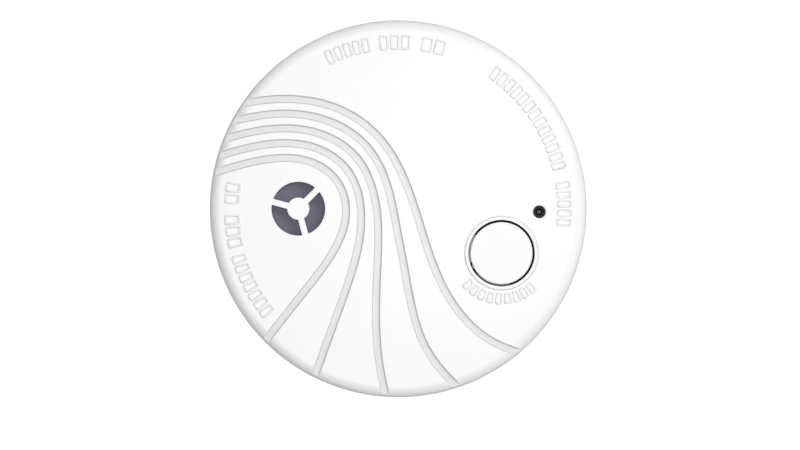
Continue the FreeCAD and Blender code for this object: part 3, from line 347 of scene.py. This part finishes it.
class Shell:
    """Points and faces of one piece, in millimetres, or in metres for the sweep.

    For the first points, a share of painted shade: how far the colour goes to the grey painted into the
    grooves and along the marks' sides. It is 0 for the rest.
    """

    def __init__(self):
        self.points = []
        self.faces = []
        self.painted_shade = []

    def add(self, points, faces):
        """Adds points, and faces numbered from the first of them, whose own number it returns."""
        start = len(self.points)
        self.points.extend([tuple(map(float, p)) for p in points])
        self.faces.extend([tuple(start + i for i in face) for face in faces])
        return start

    def add_ring(self, points):
        """Adds a ring of points and returns their numbers."""
        start = self.add(points, [])
        return range(start, start + len(points))

    def bridge(self, lower, upper):
        """Quads between two closed rings of point numbers of equal length."""
        count = len(lower)
        for i in range(count):
            j = (i + 1) % count
            self.faces.append((lower[i], lower[j], upper[j], upper[i]))

    def ring_wall(self, rings):
        """A wall through several rings of points, each a closed loop of equal length."""
        numbers = [self.add_ring(ring) for ring in rings]
        for lower, upper in zip(numbers, numbers[1:]):
            self.bridge(lower, upper)
        return numbers

    def prism(self, outline, low_z, high_z):
        """A closed body that stands on an outline."""
        low, high = self.ring_wall([level(outline, low_z), level(outline, high_z)])
        self.faces.append(tuple(reversed(low)))
        self.faces.append(tuple(high))

    def lathe(self, outline):
        """Turns a closed outline of (radius, z), anticlockwise, about the cover's axis."""
        numbers = self.ring_wall([level(circle(radius, LATHE_COUNT), z) for radius, z in outline])
        self.bridge(numbers[-1], numbers[0])


def make_piece(name, shell, body, material):
    """Makes a shell into an object that rides on a body."""
    mesh = bpy.data.meshes.new(name)
    mesh.from_pydata([Vector(p) * MM for p in shell.points], [], shell.faces)
    mesh.update()
    mesh.shade_smooth()
    mesh.set_sharp_from_angle(angle=math.radians(SHARP_DEGREES))
    # The share of painted shade rides on the mesh as a point attribute
    painted_shade = np.zeros(len(mesh.vertices), np.float32)
    painted_shade[:len(shell.painted_shade)] = shell.painted_shade
    mesh.attributes.new("painted_shade", "FLOAT", "POINT").data.foreach_set("value", painted_shade)
    made = bpy.data.objects.new(name, mesh)
    bpy.context.scene.collection.objects.link(made)
    made.data.materials.append(material)
    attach(made, body)
    return made


# ---- Materials -----------------------------------------------------------------------------

# Moulded plastic: the size and height of its grain, in millimetres, and how far that varies the roughness
GRAIN_MM = 0.35
GRAIN_HEIGHT_MM = 0.02
GRAIN_STRENGTH = 0.35
GRAIN_ROUGHNESS = 0.05
PLAIN_DETAIL = 2.0

# The slow change of tone over a part: its size in millimetres, its darker tone and how much of that comes in
MOTTLE_MM = 14.0
MOTTLE_TONE = 0.93
MOTTLE_SHARE = 0.36


def linear(value):
    """One channel of an sRGB colour, 0 to 255, as linear light."""
    return value / 255 / 12.92 if value < 11 else ((value / 255 + 0.055) / 1.055) ** 2.4


def colour(red, green, blue):
    """An sRGB colour, 0 to 255, as the linear colour that a shader takes."""
    return (linear(red), linear(green), linear(blue), 1.0)


def darker(base, share):
    """A linear colour at a share of its brightness."""
    return tuple(channel * share for channel in base[:3]) + (1.0,)


WHITE = colour(243, 243, 244)
WHITE_ROUGHNESS = 0.35
WHITE_SLOW_TONE = colour(240, 240, 241)
# The grey of the painted shade in the grooves and along the marks' sides
GROOVE_PAINTED_SHADE = colour(219, 219, 220)

# The button's skirt, seen only through the gap, darker lower down as painted shade: (height, sRGB colour),
# from low to high
SKIRT_PAINTED_SHADE_TONES = ((31.0, (90, 90, 91)), (32.2, (118, 118, 119)), (33.6, (166, 166, 167)),
               (34.8, (239, 239, 240)))

# The indicator's painted rings of light and shade round a grey centre that stands for the die in its cup, out
# from its axis: (radius, grey of 255)
LED_PAINTED_RINGS = ((0, 96), (0.45, 92), (0.66, 26), (0.9, 6), (1.02, 20), (1.12, 130), (1.36, 130), (1.46, 14),
             (1.9, 10))


class Look:
    """A material with a principled shader, built up by small steps."""

    def __init__(self, name, base, roughness, metallic=0.0):
        self.material = bpy.data.materials.new(name)
        self.material.use_nodes = True
        self.tree = self.material.node_tree
        self.shader = self.tree.nodes["Principled BSDF"]
        self.base = base
        self.shader.inputs["Base Color"].default_value = base
        self.shader.inputs["Roughness"].default_value = roughness
        self.shader.inputs["Metallic"].default_value = metallic
        self.place = self.tree.nodes.new("ShaderNodeTexCoord").outputs["Object"]

    def node(self, kind, **inputs):
        """A new node, with its inputs set to a value or linked to a socket."""
        made = self.tree.nodes.new(kind)
        for name, value in inputs.items():
            socket = made.inputs[name.replace("_", " ")]
            if isinstance(value, bpy.types.NodeSocket):
                self.tree.links.new(value, socket)
            else:
                socket.default_value = value
        return made

    def noise(self, grain_mm, detail=3.0):
        """Noise with grains about as large as stated."""
        made = self.node("ShaderNodeTexNoise", Vector=self.place, Scale=1 / (grain_mm * MM), Detail=detail)
        return made.outputs[0]

    def ramp(self, source, low, high, low_at=0.3, high_at=0.7):
        """A value that goes from low to high while the source goes from low_at to high_at."""
        made = self.node("ShaderNodeMapRange", Value=source, From_Min=low_at, From_Max=high_at)
        made.inputs["To Min"].default_value = low
        made.inputs["To Max"].default_value = high
        return made.outputs[0]

    def vector_math(self, operation, first, second=(0, 0, 0)):
        """A vector operation on a socket and a fixed vector."""
        made = self.tree.nodes.new("ShaderNodeVectorMath")
        made.operation = operation
        self.tree.links.new(first, made.inputs[0])
        made.inputs[1].default_value = second
        return made

    def mix(self, share, other):
        """Mixes the base colour so far towards another colour, by a share from 0 to 1."""
        made = self.tree.nodes.new("ShaderNodeMix")
        made.data_type = "RGBA"
        made.inputs["A"].default_value = self.base
        made.inputs["B"].default_value = other
        base = self.shader.inputs["Base Color"]
        if base.is_linked:
            self.tree.links.new(base.links[0].from_socket, made.inputs["A"])
        self.tree.links.new(share, made.inputs["Factor"])
        self.tree.links.new(made.outputs["Result"], base)

    def tint(self, source, other, share):
        """Mixes the base colour towards another colour where the source is high."""
        self.mix(self.ramp(source, 0, share), other)

    def colour_along(self, source, tones):
        """Colours the base by a length: tones are (millimetres, sRGB colour), from low to high."""
        low, high = tones[0][0], tones[-1][0]
        made = self.node("ShaderNodeValToRGB", Fac=self.ramp(source, 0, 1, low * MM, high * MM))
        stops = made.color_ramp.elements
        stops[0].color = colour(*tones[0][1])
        stops[1].color = colour(*tones[-1][1])
        for at, tone in tones[1:-1]:
            stops.new((at - low) / (high - low)).color = colour(*tone)
        self.tree.links.new(made.outputs["Color"], self.shader.inputs["Base Color"])

    def vary_roughness(self, source, low, high):
        self.tree.links.new(self.ramp(source, low, high), self.shader.inputs["Roughness"])

    def bump(self, source, height_mm, strength):
        made = self.node("ShaderNodeBump", Height=source, Distance=height_mm * MM, Strength=strength)
        self.tree.links.new(made.outputs["Normal"], self.shader.inputs["Normal"])

    def moulded_grain(self, roughness, grain_mm=GRAIN_MM, height_mm=GRAIN_HEIGHT_MM):
        """The spark-eroded grain of a mould, in the surface and in its roughness."""
        grain = self.noise(grain_mm, PLAIN_DETAIL)
        self.vary_roughness(grain, roughness - GRAIN_ROUGHNESS, roughness + GRAIN_ROUGHNESS)
        self.bump(grain, height_mm, GRAIN_STRENGTH)


def moulded(name, base, roughness, grain_mm=GRAIN_MM, height_mm=GRAIN_HEIGHT_MM):
    """Moulded plastic: a spark-eroded grain, and a slow change of tone over the part."""
    look = Look(name, base, roughness)
    look.tint(look.noise(MOTTLE_MM, PLAIN_DETAIL), darker(base, MOTTLE_TONE), MOTTLE_SHARE)
    look.moulded_grain(roughness, grain_mm, height_mm)
    return look.material


def painted_groove_shade_look():
    """The cover's white plastic, with painted shade that greys the grooves and the sides of the marks."""
    look = Look("white_plastic_painted_groove_shade", WHITE, 0.4)
    look.tint(look.noise(MOTTLE_MM, PLAIN_DETAIL), WHITE_SLOW_TONE, share=0.5)
    painted_shade = look.tree.nodes.new("ShaderNodeAttribute")
    painted_shade.attribute_name = "painted_shade"
    # Painted shade: the colour goes to grey deep in the grooves and along the marks' sides
    look.mix(look.ramp(painted_shade.outputs["Fac"], 0, 1, low_at=0.0, high_at=0.35), GROOVE_PAINTED_SHADE)
    look.moulded_grain(WHITE_ROUGHNESS)
    return look.material


def button_painted_shade_look():
    """The button's white plastic, darkened down its skirt with painted shade; the skirt shows only through
    the gap.
    """
    look = Look("white_plastic_button_painted_shade", colour(*SKIRT_PAINTED_SHADE_TONES[-1][1]), WHITE_ROUGHNESS)
    split = look.node("ShaderNodeSeparateXYZ", Vector=look.place)
    look.colour_along(split.outputs["Z"], SKIRT_PAINTED_SHADE_TONES)
    look.moulded_grain(WHITE_ROUGHNESS)
    return look.material


def board_look():
    """A circuit board's matt green lacquer, mottled and finely uneven."""
    look = Look("circuit_board", colour(6, 36, 16), 0.6)
    look.shader.inputs["Specular IOR Level"].default_value = 0.25
    look.tint(look.noise(1.2), colour(14, 58, 28), share=0.6)
    look.bump(look.noise(0.8), height_mm=0.01, strength=0.4)
    return look.material


def metal(name, base, roughness):
    """Bare metal: a fine grain that varies its gloss, and slow stains."""
    look = Look(name, base, roughness, metallic=1.0)
    grain = look.noise(0.6)
    look.vary_roughness(grain, roughness - 0.06, roughness + 0.1)
    look.tint(look.noise(3.0), darker(base, 0.8), share=0.5)
    look.bump(grain, height_mm=0.004, strength=0.3)
    return look.material


def led_painted_rings_look():
    """The indicator's dark lens: painted rings of light and shade round the die's grey centre, out from its
    axis.
    """
    look = Look("led_lens", colour(20, 20, 20), 0.16)
    offset = look.vector_math("SUBTRACT", look.place, (LED[0] * MM, LED[1] * MM, 0))
    flat = look.vector_math("MULTIPLY", offset.outputs[0], (1, 1, 0))
    length = look.vector_math("LENGTH", flat.outputs[0])
    # Painted light and shade: a lit grey ring at the shoulder and dark rings round the grey centre
    look.colour_along(length.outputs["Value"], [(radius, (grey, grey, grey)) for radius, grey in LED_PAINTED_RINGS])
    look.vary_roughness(look.noise(0.4), 0.12, 0.2)
    return look.material


WHITE_PLASTIC = moulded("white_plastic", WHITE, WHITE_ROUGHNESS)
COVER_PLASTIC = painted_groove_shade_look()


# ---- The front cover -----------------------------------------------------------------------

# Points of the face's net that lie this close together, in millimetres, are joined. The triangulation's
# output type 0 fills the whole net with triangles.
JOIN_WITHIN = 1e-5
TRIANGLES = 0


class FaceNet:
    """The points and lines from which the face is triangulated.

    Each point has a lift above the plain face, and a shade: painted shade, how far its colour goes to the
    grey painted into the grooves.
    """

    def __init__(self):
        self.points = []
        self.lifts = []
        self.shades = []
        self.edges = []
        self.loops = {}

    def scatter(self, points, lift=0.0, shade=0.0):
        """Adds loose points and returns the number of the first."""
        start = len(self.points)
        self.points.extend([tuple(p) for p in points])
        self.lifts.extend([lift] * len(points))
        self.shades.extend([shade] * len(points))
        return start

    def add(self, points, lift=0.0, closed=True, name=None, shade=0.0):
        """Adds a line through points. Its name keeps it as a hole's outline or, for "wall", as the face's."""
        start = self.scatter(points, lift, shade)
        count = len(points)
        last = count if closed else count - 1
        self.edges.extend([(start + i, start + (i + 1) % count) for i in range(last)])
        if name:
            self.loops[name] = list(range(start, start + count))


def groove_offsets():
    """How far from a groove's centre line its mesh lines run."""
    floor = [GROOVE_FLOOR * share for share in GROOVE_FLOOR_LINES]
    wall = np.linspace(GROOVE_FLOOR, GROOVE_TOP, GROOVE_WALL_STEPS + 1)
    return [0.0, *floor, *wall, GROOVE_TOP + GROOVE_SHOULDER]


def add_grooves(net):
    """The mesh lines along each groove, cut off just inside the rim."""
    for line in GROOVE_LINES:
        along = np.gradient(line, axis=0)
        along /= np.hypot(along[:, 0], along[:, 1])[:, None]
        across = np.stack([-along[:, 1], along[:, 0]], 1)
        for offset in groove_offsets():
            for side in ((-1, 1) if offset else (1,)):
                points = line + side * offset * across
                on_cover = np.hypot(points[:, 0], points[:, 1]) < COVER_R - GROOVE_END_GAP
                first, last = np.flatnonzero(on_cover)[[0, -1]]
                net.add(points[first:last + 1], closed=False)


def add_holes(net):
    """The port's windows, the indicator's hole, and the button's hole with its lip."""
    # A ring that grows by nothing is a hole's outline, so it gets a name
    for grow, lift in ((HOLE_MARGIN, 0.0), *HOLE_EDGE):
        for index in range(len(SPOKE_ANGLES)):
            net.add(port_window(index, grow), lift, name=None if grow else f"port_{index}")
        net.add(circle(LED_HOLE_R + grow, LED_HOLE_COUNT, LED), lift, name=None if grow else "led")
    for grow, lift in HOLE_EDGE:
        ring = circle(BUTTON_HOLE_R + grow, BUTTON_COUNT, BUTTON)
        net.add(ring, BUTTON_LIP_RISE + lift, name=None if grow else "button")
    # Each ring carries painted shade, which greys the lip's fine groove
    for beyond, share, shade in LIP_EDGE:
        net.add(circle(BUTTON_LIP_R + beyond, BUTTON_COUNT, BUTTON), BUTTON_LIP_RISE * share, shade=shade)


def add_marks(net):
    """Raised hollow boxes, one where the real cover has each moulded letter."""
    groups = [((0, 0), FACE_MARK_RADIUS, FACE_MARK_LENGTH, *group) for group in FACE_MARKS]
    groups.append((BUTTON, BUTTON_MARK_RADIUS, BUTTON_MARK_LENGTH, *BUTTON_MARKS))
    for centre, radius, length, first, last, count in groups:
        gap = math.degrees(MARK_GAP / radius)
        pitch = (last - first + gap) / count
        width = math.radians(pitch) * radius - MARK_GAP
        for k in range(count):
            angle = first + (pitch - gap) / 2 + k * pitch
            # Each step carries painted shade, which greys the mark's side
            for grow, share, shade in MARK_EDGE:
                outer = mark_outline(centre, radius, angle, width + 2 * grow, length + 2 * grow, MARK_CORNER)
                net.add(outer, MARK_RISE * share, shade=shade)
                away = 2 * (MARK_WIDTH + grow)
                inner = mark_outline(centre, radius, angle, width - away, length - away, MARK_CORNER / 2)
                net.add(inner, MARK_RISE * share, shade=shade)


def rim_circle(edge_r, degrees):
    """A ring of points on the rounded edge, at an angle from the vertical."""
    return circle(RIM_FROM_R + edge_r * math.sin(math.radians(degrees)), RIM_COUNT)


def add_rim(net):
    """Rings round the rounded edge. The last one is where the side wall starts."""
    net.add(circle(RIM_FROM_R - RIM_INNER_RING_GAP, RIM_COUNT))
    for degrees in RIM_DEGREES:
        net.add(rim_circle(EDGE_R, degrees))
    net.add(circle(COVER_R, RIM_COUNT), name="wall")


def add_land_points(net):
    """Loose points over the plain stretches, clear of every line."""
    rows = np.arange(-COVER_R, COVER_R, LAND_SPACING * math.sqrt(3) / 2)
    columns = np.arange(-COVER_R, COVER_R, LAND_SPACING)
    grid = np.array([(x + (i % 2) * LAND_SPACING / 2, y) for i, y in enumerate(rows) for x in columns])
    grid = grid[np.hypot(grid[:, 0], grid[:, 1]) < RIM_FROM_R - LAND_RIM_GAP]
    grid = grid[~in_hole(grid, net)]
    lines = np.array(net.points)
    net.scatter([p for p in grid if np.hypot(*(lines - p).T).min() > LAND_SPACING * LAND_CLEARANCE])


def in_hole(points, net):
    """Which of the points lie in one of the net's holes."""
    found = np.zeros(len(points), bool)
    for name, loop in net.loops.items():
        if name != "wall":
            found |= inside(points, np.array([net.points[i] for i in loop]))
    return found


def triangulate(net):
    """Returns the points, the triangles outside the holes, the net's loops as numbers of those points,
    the lifts and the shades."""
    corners = [Vector(p) for p in net.points]
    points, _, faces, came_from, _, _ = delaunay_2d_cdt(corners, net.edges, [], TRIANGLES, JOIN_WITHIN)
    flat = np.array([tuple(p) for p in points])
    faces = np.array(faces)
    faces = faces[~in_hole(flat[faces].mean(axis=1), net)]
    where = {}
    lifts, shades = np.zeros(len(points)), np.zeros(len(points))
    for number, sources in enumerate(came_from):
        for source in sources:
            where[source] = number
            lifts[number] = net.lifts[source]
            shades[number] = net.shades[source]
    loops = {name: [where[i] for i in loop] for name, loop in net.loops.items()}
    return flat, facing_up(flat, faces.tolist()), loops, lifts, shades


def facing_up(points, faces):
    """Turns every triangle so that it is anticlockwise seen from above."""
    turned = []
    for a, b, c in faces:
        (x1, y1), (x2, y2) = points[b] - points[a], points[c] - points[a]
        turned.append((a, b, c) if x1 * y2 - y1 * x2 > 0 else (a, c, b))
    return turned


def add_face(shell):
    """The face and its rounded edge. Returns its points seen from above, and its loops."""
    net = FaceNet()
    add_grooves(net)
    add_holes(net)
    add_marks(net)
    add_rim(net)
    add_land_points(net)
    flat, faces, loops, lifts, shades = triangulate(net)
    shell.add(np.column_stack([flat, face_height(flat) + lifts]), faces)
    # Painted shade: a point is greyer the deeper it lies in a groove and the more shade the net gives it
    shell.painted_shade = np.maximum(groove_painted_shade(flat), shades)
    return flat, loops


def add_underside(shell, face, face_loops):
    """The surface a skin below the face, with the same holes. Returns its loops."""
    net = FaceNet()
    for name, loop in face_loops.items():
        if name != "wall":
            net.add(face[loop], name=name)
    for degrees in UNDERSIDE_RIM_DEGREES:
        net.add(rim_circle(EDGE_R - SKIN, degrees))
    net.add(circle(COVER_R - SKIN, RIM_COUNT), name="wall")
    flat, faces, loops, _, _ = triangulate(net)
    r = np.hypot(flat[:, 0], flat[:, 1])
    heights = np.where(r > RIM_FROM_R, rim_height(r, SKIN), dome_height(r, SKIN))
    start = shell.add(np.column_stack([flat, heights]), [tuple(reversed(face)) for face in faces])
    return {name: [start + i for i in loop] for name, loop in loops.items()}


def add_walls(shell, top, low):
    """The walls of the holes, and the side wall: down outside, round its lower edge and up inside."""
    for name, loop in top.items():
        if name != "wall":
            shell.bridge(loop, low[name])
    side = [(COVER_R, OUTER_RING_Z), (COVER_R, SKIRT_EDGE_TOP_Z)]
    for degrees in SKIRT_EDGE_DEGREES:
        turn = math.radians(degrees)
        side.append((COVER_R - SKIRT_EDGE_R * (1 - math.cos(turn)),
                     INLET_HIGH_Z + SKIRT_EDGE_R * (1 - math.sin(turn))))
    side += [(COVER_R - SKIN, INLET_HIGH_Z), (COVER_R - SKIN, INNER_RING_Z)]
    rings = [shell.add_ring(level(circle(radius, RIM_COUNT), z)) for radius, z in side]
    rings = [top["wall"], *rings, low["wall"]]
    for upper, lower in zip(rings, rings[1:]):
        shell.bridge(lower, upper)


def add_inlet(shell):
    """The cover's inner lip and the fins that stand on the housing."""
    lip_r = COVER_R - SKIN / 2
    shell.lathe([(FIN_R_IN, INLET_LIP_LOW_Z), (lip_r, INLET_LIP_LOW_Z),
                 (lip_r, INLET_LIP_HIGH_Z), (FIN_R_IN, INLET_LIP_HIGH_Z)])
    outline = fin_outline()
    for k in range(FIN_COUNT):
        turn = k * 2 * math.pi / FIN_COUNT
        cos, sin = math.cos(turn), math.sin(turn)
        shell.prism(outline @ np.array([[cos, sin], [-sin, cos]]), INLET_LOW_Z, FIN_TOP_Z)


def build_front_cover():
    shell = Shell()
    face, top = add_face(shell)
    low = add_underside(shell, face, top)
    add_walls(shell, top, low)
    add_inlet(shell)
    cover = make_piece("front_cover_face", shell, "head", COVER_PLASTIC)
    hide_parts("front_cover")


build_front_cover()


# ---- Other nodes ---------------------------------------------------------------------------

LOOKS = {
    "white_plastic": WHITE_PLASTIC,
    "sounder_plastic": moulded("sounder_plastic", colour(101, 97, 120), 0.5, grain_mm=0.25, height_mm=0.01),
    "black_plastic": moulded("black_plastic", colour(26, 26, 28), 0.45),
    "switch_plastic": moulded("switch_plastic", colour(205, 205, 196), 0.4),
    "circuit_board": board_look(),
    "led_lens": led_painted_rings_look(),
    "plated_steel": metal("plated_steel", colour(205, 205, 200), 0.28),
    "screen_steel": metal("screen_steel", colour(90, 90, 90), 0.4),
    "capacitor_can": metal("capacitor_can", colour(205, 206, 208), 0.3),
    "brass": metal("brass", colour(214, 178, 96), 0.3),
    "ceramic": moulded("ceramic", colour(222, 218, 205), 0.55),
    "foam_rubber": moulded("foam_rubber", colour(44, 44, 46), 0.9, grain_mm=0.5, height_mm=0.15),
    "battery_sleeve": moulded("battery_sleeve", colour(70, 110, 160), 0.3, height_mm=0.004),
    "label_film": moulded("label_film", colour(196, 198, 200), 0.35, height_mm=0.003),
}


def dress_nodes():
    """Gives every CAD node the look of its material slot."""
    for entry in frame["record"]["subparts"]:
        shown = nodes[entry["node"]]
        look = LOOKS[entry["material_slot"]]
        if shown.data.materials:
            for index in range(len(shown.data.materials)):
                shown.data.materials[index] = look
        else:
            shown.data.materials.append(look)


dress_nodes()
# The button's skirt gets painted shade, darker lower down
nodes["test_button"].data.materials[0] = button_painted_shade_look()


# ---- Studio --------------------------------------------------------------------------------

# The sweep, its lengths in metres
SWEEP_CENTRE_R = 0.02
SWEEP_R = 3.0
SWEEP_BEND = 1.2
SWEEP_TOP = 3.5
SWEEP_COUNT = 96
SWEEP_TONE = (0.8, 0.8, 0.8, 1)
SWEEP_GLOW = 0.66

WHITE_LIGHT = (1, 1, 1, 1)
SKY = 0.41

# Softboxes: (name, watts, diameter, distance, tilt, azimuth), in metres and degrees
SOFTBOXES = (
    ("overhead", 6.3, 0.5, 1.5, 0.8, 30),
    ("key", 2.4, 0.45, 0.85, 38, 38),
    ("side", 0.9, 0.22, 1.0, 44, -15),
)

# The camera's frame is FRAME_WIDTH wide at FRAME_Z, a height between the face and the widest rim
FRAME_WIDTH = 226.8
FRAME_Z = 33.0
FRAME_CENTRE = (0.48, -4.62)
LENS = 180.0
SENSOR = 36.0


def add_sweep():
    """A pale floor that curves up into a wall all round. It glows faintly, but doesn't light the object."""
    outline = [(SWEEP_CENTRE_R, 0.0), (SWEEP_R - SWEEP_BEND, 0.0)]
    for degrees in range(5, 90, 5):
        turn = math.radians(degrees)
        outline.append((SWEEP_R - SWEEP_BEND * (1 - math.sin(turn)), SWEEP_BEND * (1 - math.cos(turn))))
    outline += [(SWEEP_R, SWEEP_BEND), (SWEEP_R, SWEEP_TOP)]
    shell = Shell()
    rings = shell.ring_wall([level(circle(radius, SWEEP_COUNT), z) for radius, z in outline])
    mesh = bpy.data.meshes.new("sweep")
    mesh.from_pydata(shell.points, [], [tuple(rings[0]), *shell.faces])
    mesh.shade_smooth()
    sweep = bpy.data.objects.new("sweep", mesh)
    bpy.context.scene.collection.objects.link(sweep)
    look = Look("sweep", SWEEP_TONE, 1.0)
    look.shader.inputs["Specular IOR Level"].default_value = 0.0
    look.shader.inputs["Emission Color"].default_value = WHITE_LIGHT
    look.shader.inputs["Emission Strength"].default_value = SWEEP_GLOW
    sweep.data.materials.append(look.material)
    sweep.visible_diffuse = False
    sweep.visible_glossy = False
    sweep.visible_shadow = False


def add_softbox(name, watts, diameter, distance, tilt, azimuth):
    """A round softbox that faces the middle of the cover. Its tilt is measured from the vertical."""
    light = bpy.data.lights.new(name, "AREA")
    light.shape = "DISK"
    light.size = diameter
    light.energy = watts
    made = bpy.data.objects.new(name, light)
    bpy.context.scene.collection.objects.link(made)
    away = Vector((0, 0, distance))
    away.rotate(Euler((0, math.radians(tilt), math.radians(azimuth))))
    made.location = Vector((0, 0, FACE_Z * MM)) + away
    made.rotation_euler = away.to_track_quat("Z", "Y").to_euler()


def add_studio():
    world = bpy.data.worlds.new("studio")
    bpy.context.scene.world = world
    world.use_nodes = True
    background = world.node_tree.nodes["Background"]
    background.inputs["Color"].default_value = WHITE_LIGHT
    background.inputs["Strength"].default_value = SKY
    for softbox in SOFTBOXES:
        add_softbox(*softbox)
    bpy.context.scene.view_settings.view_transform = "Standard"


def add_camera():
    """Straight above the cover."""
    data = bpy.data.cameras.new("camera")
    data.lens, data.sensor_width = LENS, SENSOR
    data.clip_start, data.clip_end = 0.01, 20
    camera = bpy.data.objects.new("camera", data)
    bpy.context.scene.collection.objects.link(camera)
    x, y = FRAME_CENTRE
    camera.location = (x * MM, y * MM, (FRAME_Z + FRAME_WIDTH * LENS / SENSOR) * MM)
    camera.rotation_euler = (0, 0, 0)
    bpy.context.scene.camera = camera


add_sweep()
add_studio()
add_camera()


def plain(corners):
    return [[round(value, 6) for value in corner] for corner in corners]
